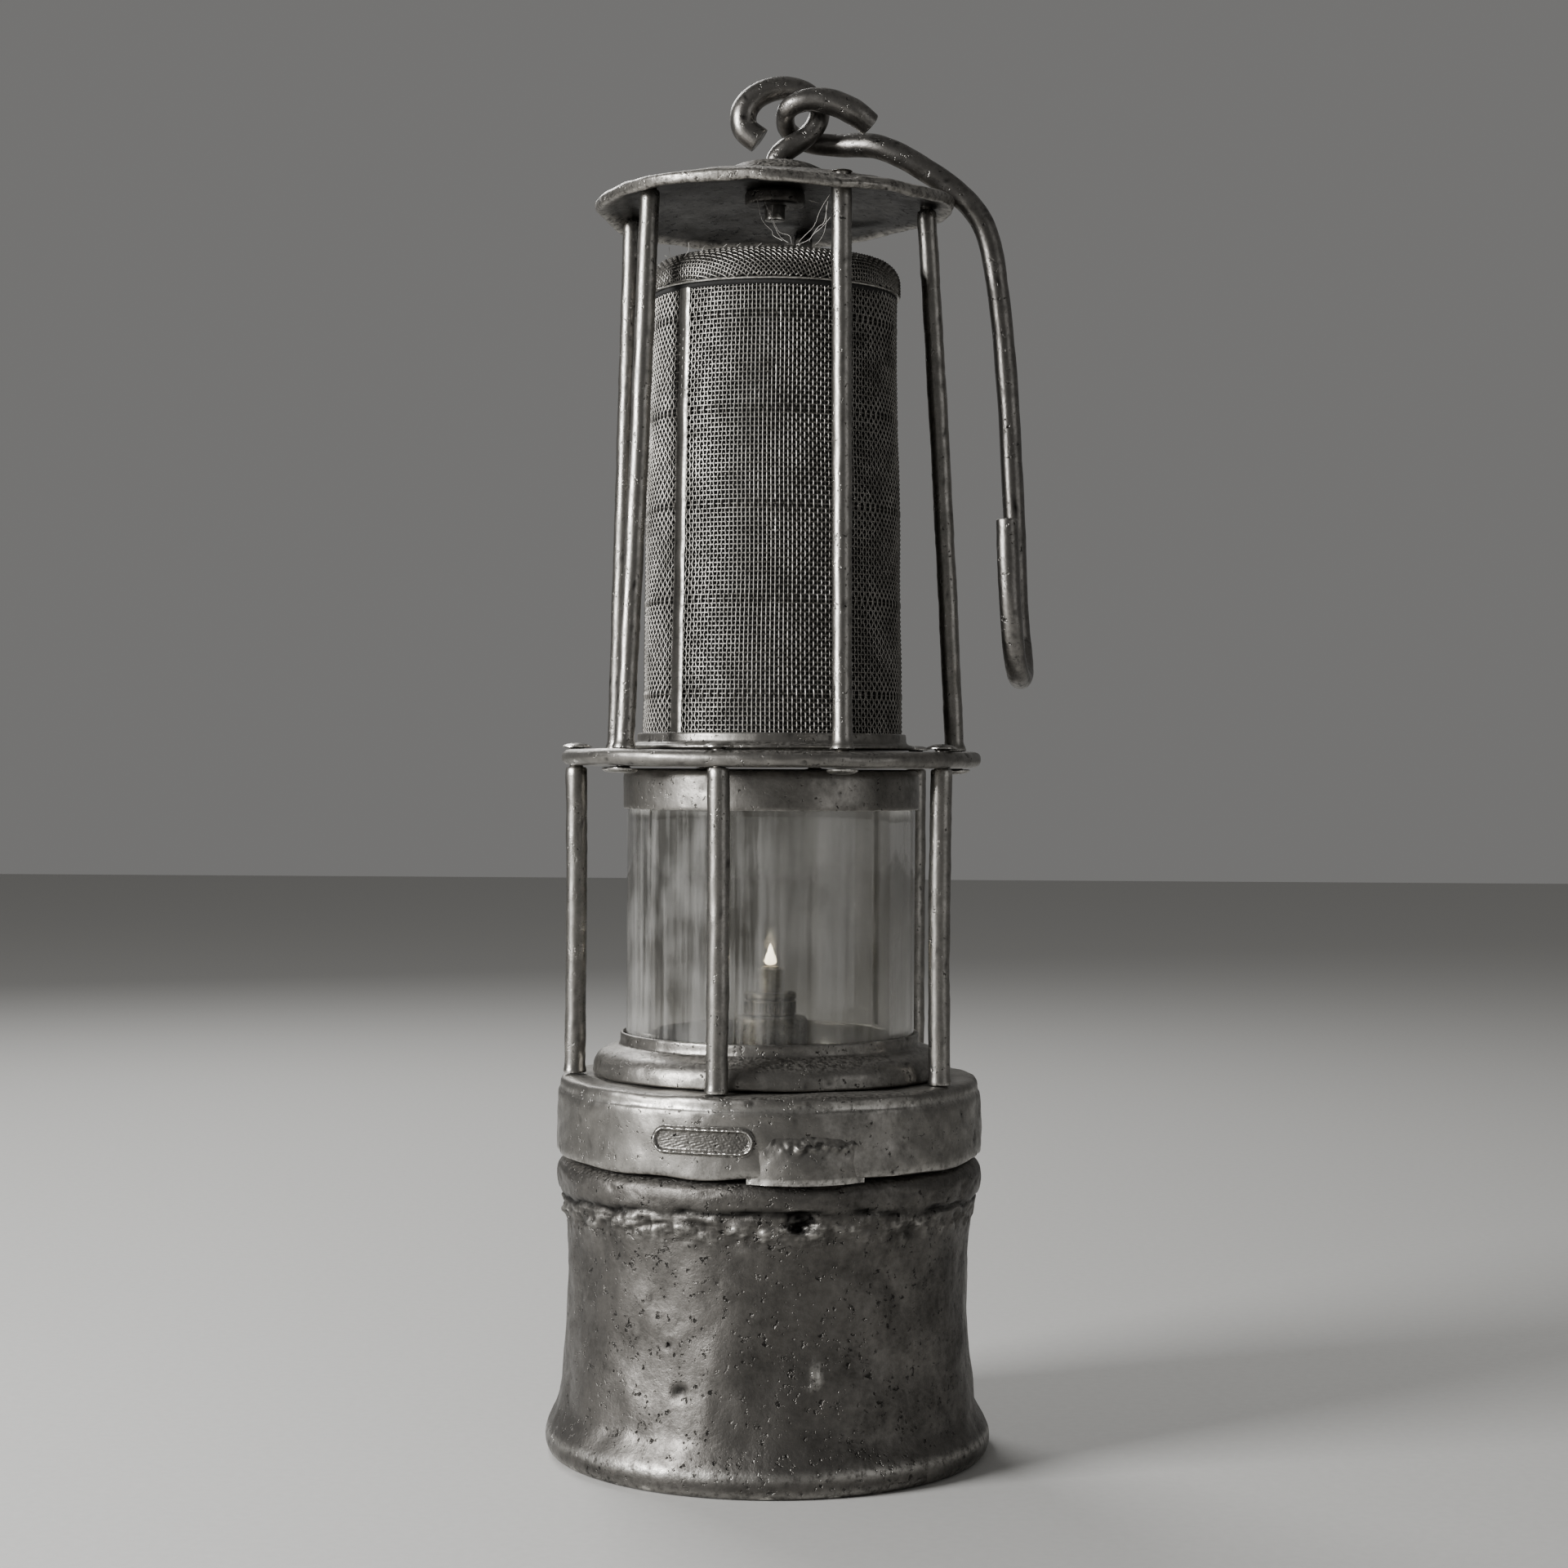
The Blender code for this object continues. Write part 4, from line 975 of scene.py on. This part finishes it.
deselect()
bpy.ops.mesh.primitive_grid_add(x_subdivisions=6, y_subdivisions=90, size=2)
seam = bpy.context.object
seam.name = "gauze_seam"
flat = points_of(seam)
height = (flat[:, 1] + 1) / 2
wall = foot_r + (head_r - foot_r) * height + 0.16 * MM
wall += np.where(np.abs(flat[:, 0]) > 0.9, -0.25, 0.0) * MM
turn = SEAM + flat[:, 0] * 1.6 * MM / foot_r
up = wall_low + height * (wall_high - wall_low)
seam_points = np.stack([wall * np.cos(turn), wall * np.sin(turn), up], 1)
put_points(seam, push_out(seam_points, 0.07 * MM * ripple(seam_points, 6, 95)))
solid = seam.modifiers.new("thickness", "SOLIDIFY")
solid.thickness = 0.3 * MM
bpy.ops.object.modifier_apply(modifier="thickness")
smooth_to(50)
fit_out(seam, "cage", [], wire_steel)

# %% [markdown]
# ## The gauze cap
#
# A second piece of gauze is drawn over the top like a thimble, so its wires cross at a slant on
# the skirt. The flat cloth is cut to a disc by deleting the wires outside it, then each point
# goes where its distance from the middle ends up along the dome.

# %% Cap cloth
cap_low, cap_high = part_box("gauze_cap")
cap_r, cap_top, hem_z = cap_high.x, cap_high.z, cap_low.z
side_z = hem_z + 2.8 * MM
bend_r = 4.5 * MM
profile = [(out * MM, cap_top - down * MM) for out, down in ((0, 0), (7, 0.4), (14, 1.3), (19.5, 2.4))]
for turn in np.radians([28, 48, 66, 82]):
    profile.append((cap_r - bend_r * (1 - math.sin(turn)), side_z + bend_r * math.cos(turn)))
profile += [(cap_r, side_z - 1.2 * MM), (cap_r, hem_z + 0.2 * MM)]
profile = np.array(profile)
lengths = np.concatenate([[0], np.cumsum(np.hypot(*np.diff(profile, axis=0).T))])
CAP_PITCH = 0.82 * MM
cap_wires = int(2 * lengths[-1] / CAP_PITCH) // 2 * 2 + 2


def drape(cloth):
    """Cuts the flat cloth to a disc, closes the cut ends, and bends it over the dome."""
    points = points_of(cloth)
    middle = CAP_PITCH * cap_wires / 2
    crossing = np.round(points[:, (0, 2)] / CAP_PITCH) * CAP_PITCH - middle
    out = np.hypot(*crossing.T) > lengths[-1]
    edit_mode()
    bpy.ops.mesh.select_mode(type="VERT")
    pick_none()
    object_mode()
    cloth.data.vertices.foreach_set("select", out)
    edit_mode()
    bpy.ops.mesh.delete(type="VERT")
    pick_all()
    bpy.ops.mesh.fill_holes(sides=4)
    object_mode()
    points = points_of(cloth)
    x, y = points[:, 0] - middle, points[:, 2] - middle
    far = np.hypot(x, y)
    turn = np.arctan2(y, x) + math.radians(45)
    r, z = np.interp(far, lengths, profile[:, 0]), np.interp(far, lengths, profile[:, 1])
    r_ahead, z_ahead = (np.interp(far + 0.3 * MM, lengths, profile[:, i]) for i in (0, 1))
    slope = np.stack([r_ahead - r, z_ahead - z], 1)
    slope /= np.maximum(np.linalg.norm(slope, axis=1), 1e-9)[:, None]
    lift = points[:, 1] - 0.35 * MM
    r2, z2 = r - slope[:, 1] * lift, z + slope[:, 0] * lift
    crumple = 0.25 * ripple(np.stack([r * np.cos(turn), r * np.sin(turn), z], 1), 13, 97) * MM
    z2 = z2 + crumple * np.clip(1 - r / cap_r, 0, 1) * 2
    put_points(cloth, np.stack([r2 * np.cos(turn), r2 * np.sin(turn), z2], 1))


for name, level in (("cap_wires_a", False), ("cap_wires_b", True)):
    cloth = wire_cloth(name, cap_wires, cap_wires, CAP_PITCH, CAP_PITCH, int(level), 0.15 * MM)
    if level:
        stand_up(cloth)
    drape(cloth)
    fit_out(cloth, "cage", ["gauze_cap"], wire_steel)

# %% [markdown]
# ## Under the cap and round its hem
#
# The cap is black inside too: a black shell under it paints the shade inside the cap, like the cylinder's
# lining. A thin wire is rolled into its hem, which keeps the cut ends from fraying.

# %% Cap lining and hem
inner = [(float(r) * 0.965, float(z) - 0.9 * MM) for r, z in profile]
inner += [(float(r) * 0.945, float(z) - 1.2 * MM) for r, z in profile[::-1]]
inner[0], inner[-1] = (0, inner[0][1]), (0, inner[-1][1])
cap_lining = turned("cap_shade_lining", fill_in(inner, 3), 96)
fit_out(cap_lining, "cage", [], soot_and_shade_black)
hem = ((0.75, 0), (0.3, 0), (0.2, 0.2), (0.3, 0.4), (0.75, 0.4))
cap_hem = turned("cap_hem", [(cap_r - inset * MM, hem_z + up * MM) for inset, up in hem], 192)
hem_points = points_of(cap_hem)
hem_points = push_out(hem_points, 0.05 * MM * ripple(hem_points, 2, 98))
put_points(cap_hem, hem_points)
fit_out(cap_hem, "cage", [], wire_steel)

# %% [markdown]
# ## The top plate
#
# A dished iron plate shields the gauze and carries the swivel. It has been dropped: its rim rises
# and falls by a millimetre, it is creased on the right, and its rim is rolled over.

# %% Top plate
plate = turned("roof_plate", fill_in(soften(outline_of("top_plate", side=-1), 0.7), 1.1), 288)
points = points_of(plate)
angle, radius, z = round_view(points)
share = np.clip((radius - 12 * MM) / (25 * MM), 0, 1)
buckle = 0.75 * np.cos(np.radians(2 * (angle - 20))) - 0.35 * np.cos(np.radians(angle - 180))
crease = np.exp(-(((radius - 27 * MM - 3 * MM * np.sin(np.radians(angle * 3))) / (1.6 * MM)) ** 2))
crease = crease * np.clip(np.cos(np.radians(angle - 25)), 0, 1)
waves = 0.35 * share * ripple(points, 22, 101) + 0.12 * ripple(points, 7, 102)
points[:, 2] += (share**2 * buckle + waves - 0.5 * crease) * MM
rim = np.clip((radius - 33.5 * MM) / (3 * MM), 0, 1)
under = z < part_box("top_plate")[1].z - 5.1 * MM * (radius / (37.5 * MM)) ** 2 - 1.1 * MM
points[:, 2] += rim * np.where(under, -0.35, 0.15) * MM
points = push_out(points, rim * (0.25 * ripple(points, 16, 103) - 0.3) * MM)
put_points(plate, points)
# painted shade: the underside inside the rim is darkened, and a dark spot stands for a tear that is not cut;
# the crease and rust spots are darkened too
tear_shade_spot = spot(angle, z, 28, 258.6, 2.2, 1.0, 37 * MM)
rust = np.clip(ripple(points, 3, 104) - 1.0, 0, 1)
store(plate, "hollow_and_shade", crease * 0.4 + tear_shade_spot * 2 + under * (1 - rim) * 0.8 + rust * 0.8)
# the rim is painted brighter: a painted highlight, partly rubbed wear
store(plate, "worn_and_highlight", rim * 0.55)
fit_out(plate, "cage", ["top_plate"], plate_iron)
worn_ring("boss", "boss_washer", plate_iron, 0.9, 144, 0.1, 0.8, seed=105)
worn_ring("swivel_nut_worn", "swivel_nut", plate_iron, 0.8, 72, 0.1, 0.4,
          body="swivel", seed=109)

# %% [markdown]
# ## The swivel eye and the hook
#
# Both are steel rod, forged hot round a pin. The eye is thick where it leaves the plate and ends
# in a flat cut. The hook has its own eye, which goes round the swivel's, a long shank beside the
# lamp, and a U bend at the bottom whose short end comes up beside the shank.
#
# A rod like this is a curve with a round bevel. The curve's points carry a thickness each, as a
# smith leaves it. The curve is turned into a mesh, and small hammer marks are pushed in.

# %% Forged rods


def smooth_route(knots, parts):
    """Points along a smooth line through the knots."""
    knots = [Vector(k) for k in knots]
    route = []
    for i in range(len(knots) - 1):
        before, a = knots[max(i - 1, 0)], knots[i]
        b, after = knots[i + 1], knots[min(i + 2, len(knots) - 1)]
        for k in range(parts):
            t = k / parts
            route.append(0.5 * ((2 * a) + (b - before) * t + (2 * before - 5 * a + 4 * b - after) * t * t
                                + (3 * a - before - 3 * b + after) * t**3))
    return route + [knots[-1]]


def forged_rod(name, knots, thickness, seed):
    """A rod along these knots in mm. Thickness is a list of (mm along the rod, radius in mm)."""
    route = smooth_route(knots, 8)
    along = [0.0]
    for a, b in zip(route, route[1:]):
        along.append(along[-1] + (b - a).length)
    deselect()
    bpy.ops.curve.primitive_bezier_curve_add()
    rod = bpy.context.object
    rod.name = name
    curve = rod.data
    curve.splines.clear()
    line = curve.splines.new("POLY")
    line.points.add(len(route) - 1)
    for i, place in enumerate(route):
        line.points[i].co = (*(place * MM), 1)
        line.points[i].radius = float(np.interp(along[i], *zip(*thickness)))
    curve.dimensions = "3D"
    curve.twist_mode = "MINIMUM"
    curve.bevel_depth = MM
    curve.bevel_resolution = 6
    curve.use_fill_caps = True
    bpy.ops.object.convert(target="MESH")
    rod = bpy.context.object
    edit_mode()
    pick_all()
    bpy.ops.mesh.remove_doubles(threshold=1e-6)
    bpy.ops.mesh.normals_make_consistent(inside=False)
    object_mode()
    bevel = rod.modifiers.new("cut_edge", "BEVEL")
    bevel.width = 0.25 * MM
    bevel.segments = 2
    bevel.angle_limit = math.radians(50)
    bpy.ops.object.modifier_apply(modifier="cut_edge")
    normals = np.array([v.normal for v in rod.data.vertices])
    points = points_of(rod)
    marks = 0.06 * ripple(points, 12, seed) + 0.025 * ripple(points, 3.2, seed + 1)
    put_points(rod, points + normals * (marks * MM)[:, None])
    store(rod, "hollow_and_shade", np.clip(ripple(points, 2.2, seed + 2) - 1.2, 0, 1))
    smooth_to(45)
    return rod


# %% Swivel eye
limb = [(0, 255.6), (0, 262), (0, 267.5), (2.2, 270.3), (6.1, 272.8), (8.6, 275.8), (8.9, 279)]
limb += [(6.4, 282.1), (1.6, 283.2), (-3.3, 281.9), (-6.4, 278.6), (-6.4, 274.8), (-3.4, 272.2)]
eye = forged_rod("swivel_eye_rod", [(x, 0, z) for x, z in limb],
                 [(0, 2.05), (12, 2.1), (16, 2.35), (20, 2.25), (27, 2.15), (36, 2.4), (46, 2.75), (55, 2.8)],
                 120)
fit_out(eye, "swivel", ["swivel_eye"], hook_steel)

# %% Hook
front = [(19.6, -3.9, 274.7), (16.4, -5.1, 277), (12.2, -5.4, 278.9), (7.8, -5.3, 279.6), (4.4, -4.7, 279)]
through = [(2.5, -2.9, 277.9), (2, 0, 276.7), (2.5, 2.9, 275.3), (4.6, 4.8, 273.8), (8.6, 5.2, 272.8)]
shoulder = [(13.4, 4.6, 272.3), (17.8, 2.4, 272), (21.6, 0.8, 271.2), (26.6, 0, 269), (31.4, 0, 266.2)]
shank = [(36.8, 0, 262.5), (41.6, 0, 257.9), (44.6, 0, 251.8), (46.6, 0, 241), (48.6, 0, 222), (50.2, 0, 196)]
bend = [(51.2, 0, 174), (51.9, -1, 166.4), (51.8, -4.8, 161.8), (50.9, -10.6, 160.2), (49.7, -16.4, 161.8)]
tip = [(48.6, -20.6, 166.6), (47.8, -22.6, 174), (47.2, -23.2, 183), (47, -22.8, 191.6)]
hook_route = front + through + shoulder + shank + bend + tip
steps = [(Vector(b) - Vector(a)).length for a, b in zip(hook_route, hook_route[1:])]
print("hook length in mm:", round(sum(steps), 1))
hook = forged_rod("carrying_hook", hook_route,
                  [(0, 2.5), (5, 2.75), (11, 2.6), (17, 2.15), (22, 2.0), (30, 2.1), (42, 2.55), (60, 2.5),
                   (90, 2.3), (260, 2.2), (278, 2.1), (284, 1.7)], 130)
fit_out(hook, "hook", ["hook"], hook_steel)

# %% [markdown]
# ## The burner and the flame
#
# The burner stands in the middle of the pot: a stepped holder, a knurled cap that the fingers can
# grip, and a thin tube with the cotton wick. The flame is turned down to a bead, as for testing
# for gas. Flame has no surface, only glowing gas, so its material gives light and nothing else.

# %% Burner


def knurl(piece, low_z, high_z, teeth, deep, centre=(0, 0)):
    """Cuts upright grooves into the outside of a turned piece between two heights."""
    points = points_of(piece)
    x, y = points[:, 0] - centre[0], points[:, 1] - centre[1]
    radius = np.hypot(x, y)
    inside = (points[:, 2] > low_z) & (points[:, 2] < high_z) & (radius > radius.max() * 0.9)
    groove = 0.5 + 0.5 * np.cos(np.arctan2(y, x) * teeth)
    shrink = 1 - inside * groove * deep * MM / np.maximum(radius, 1e-6)
    points[:, 0], points[:, 1] = centre[0] + x * shrink, centre[1] + y * shrink
    put_points(piece, points)
    store(piece, "hollow_and_shade", inside * groove * 0.7)


holder = turned("burner_holder_turned", fill_in(soften(outline_of("burner_holder"), 0.4), 0.8), 144)
fit_out(holder, "vessel", ["burner_holder"], brass)
cap_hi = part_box("burner_cap")[1]
burner = turned("burner_cap_knurled", fill_in(soften(outline_of("burner_cap"), 0.25), 0.4), 192)
knurl(burner, cap_hi.z - 4.2 * MM, cap_hi.z - 2.0 * MM, 48, 0.25)
fit_out(burner, "vessel", ["burner_cap"], brass)
tube = turned("wick_tube_turned", fill_in(soften(outline_of("wick_tube"), 0.15), 1.0), 64)
fit_out(tube, "vessel", ["wick_tube"], brass)
wick = turned("wick_strands", fill_in(soften(outline_of("wick"), 0.4), 0.5), 48)
points = points_of(wick)
angle, radius, z = round_view(points)
twist = 0.10 * np.cos(np.radians(angle * 6) + z / MM * 1.2)
put_points(wick, push_out(points, np.minimum(twist, 0.0) * MM * 2))
fit_out(wick, "wick_lift", ["wick"], cotton)

# %% Wick knob under the base
knob_centre = (-17 * MM, 0)
knob_lo, knob_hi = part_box("wick_knob")
knob_outline = fill_in(soften(outline_of("wick_knob", 1, knob_centre), 0.4), 0.8)
knob = turned("wick_knob_knurled", knob_outline, 144, knob_centre)
knurl(knob, knob_lo.z + 0.8 * MM, knob_hi.z - 0.8 * MM, 30, 0.3, knob_centre)
fit_out(knob, "wick_key", ["wick_knob"], brass)

# %% Flame
flame_glow, tree, output = new_material("small_flame")
place = add_node(tree, "TexCoord").outputs["Object"]
height = add_node(tree, "SeparateXYZ", {}, {0: place})
share = add_node(tree, "MapRange", {"From Min": 0.0998, "From Max": 0.1055},
                 {"Value": height.outputs["Z"]})
glow = add_node(tree, "Mix", {"data_type": "RGBA", 6: srgb("d8c9a8"), 7: srgb("fff6e2")},
                {0: share})
skin = add_node(tree, "BsdfPrincipled",
                {"Base Color": srgb("fff6e2"), "Emission Strength": 7.0, "Roughness": 1.0},
                {"Emission Color": glow.outputs[2]})
tree.links.new(skin.outputs[0], output.inputs["Surface"])
flame_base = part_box("wick")[1].z
drop = [(0, 0.1), (0.8, 0.2), (1.25, 0.6), (1.25, 1.2), (0.95, 2.1), (0.6, 3.1), (0.28, 4.0), (0, 4.7)]
flame = turned("flame", soften([(r * MM, flame_base + h * MM) for r, h in drop], 0.5), 24)
fit_out(flame, "vessel", [], flame_glow)

# %% [markdown]
# ## Cobweb and dust fibres
#
# The lamp has hung unused: strands of cobweb reach from the cap to the plate and the front right
# pillar, and a little fluff lies on the cap. Each strand is a very thin curve that sags.

# %% Cobweb
chance = np.random.default_rng(7)
web = []
pillar_head = ends_of("upper_pillar_1")[1] / MM
web_x, web_y = pillar_head[0] - 2.4, pillar_head[1] + 1.5
ways = [((5 + 2 * i % 5, -19 + i, 247.9), (web_x, web_y, 255.5 - 1.3 * i)) for i in range(4)]
ways += [((1.5 + i, -18 + i, 248.0), (-3.5 + i * 1.5, -5.5, 258.4)) for i in range(3)]
for i in range(9):
    back = abs(i - 4)
    ways.append(((-22 + 3.4 * i, -19.5 + back, 245.2), (-21 + 3.6 * i, -20.5 + back, 247.0)))
for start, end in ways:
    start, end = Vector(start), Vector(end)
    knots = []
    for t in (0, 0.25, 0.5, 0.75, 1):
        sag = Vector((0, 0, 1.2 * math.sin(math.pi * t)))
        knots.append(start.lerp(end, t) + Vector(chance.normal(size=3)) * 0.45 - sag)
    route = smooth_route(knots, 3)
    deselect()
    bpy.ops.curve.primitive_bezier_curve_add()
    strand = bpy.context.object
    strand.data.splines.clear()
    line = strand.data.splines.new("POLY")
    line.points.add(len(route) - 1)
    for i, place in enumerate(route):
        line.points[i].co = (*(place * MM), 1)
    strand.data.dimensions = "3D"
    strand.data.bevel_depth = 0.045 * MM
    strand.data.bevel_resolution = 0
    bpy.ops.object.convert(target="MESH")
    web.append(bpy.context.object)
select_only(*web)
bpy.ops.object.join()
cobweb = bpy.context.object
cobweb.name = "cobweb"
fit_out(cobweb, "cage", [], dull_stuff("cobweb_silk", "b8b5af", "d6d3cd", 0.8, 0.9, 0.01))

# %% [markdown]
# ## Pieces kept from the engineering model
#
# The pieces inside the lamp, and the flat ones, are already the right shape. They keep their
# meshes and take the finish of what they are made of.

# %% Finishes for the kept pieces
kept = {
    "vessel_base": pot_iron, "vessel_deck": brass, "cotton_wadding": cotton, "spindle_gland": brass,
    "wick_spindle": brass, "wick_carrier": brass, "filler_washer": leather, "filler_plug": brass,
    "neck_seal": leather, "glass_gasket_lower": leather, "glass_gasket_upper": leather,
    "lock_bolt": frame_steel,
}
for node, finish in kept.items():
    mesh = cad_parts[node].data
    mesh.materials.clear()
    mesh.materials.append(finish)
print("kept:", len(kept))
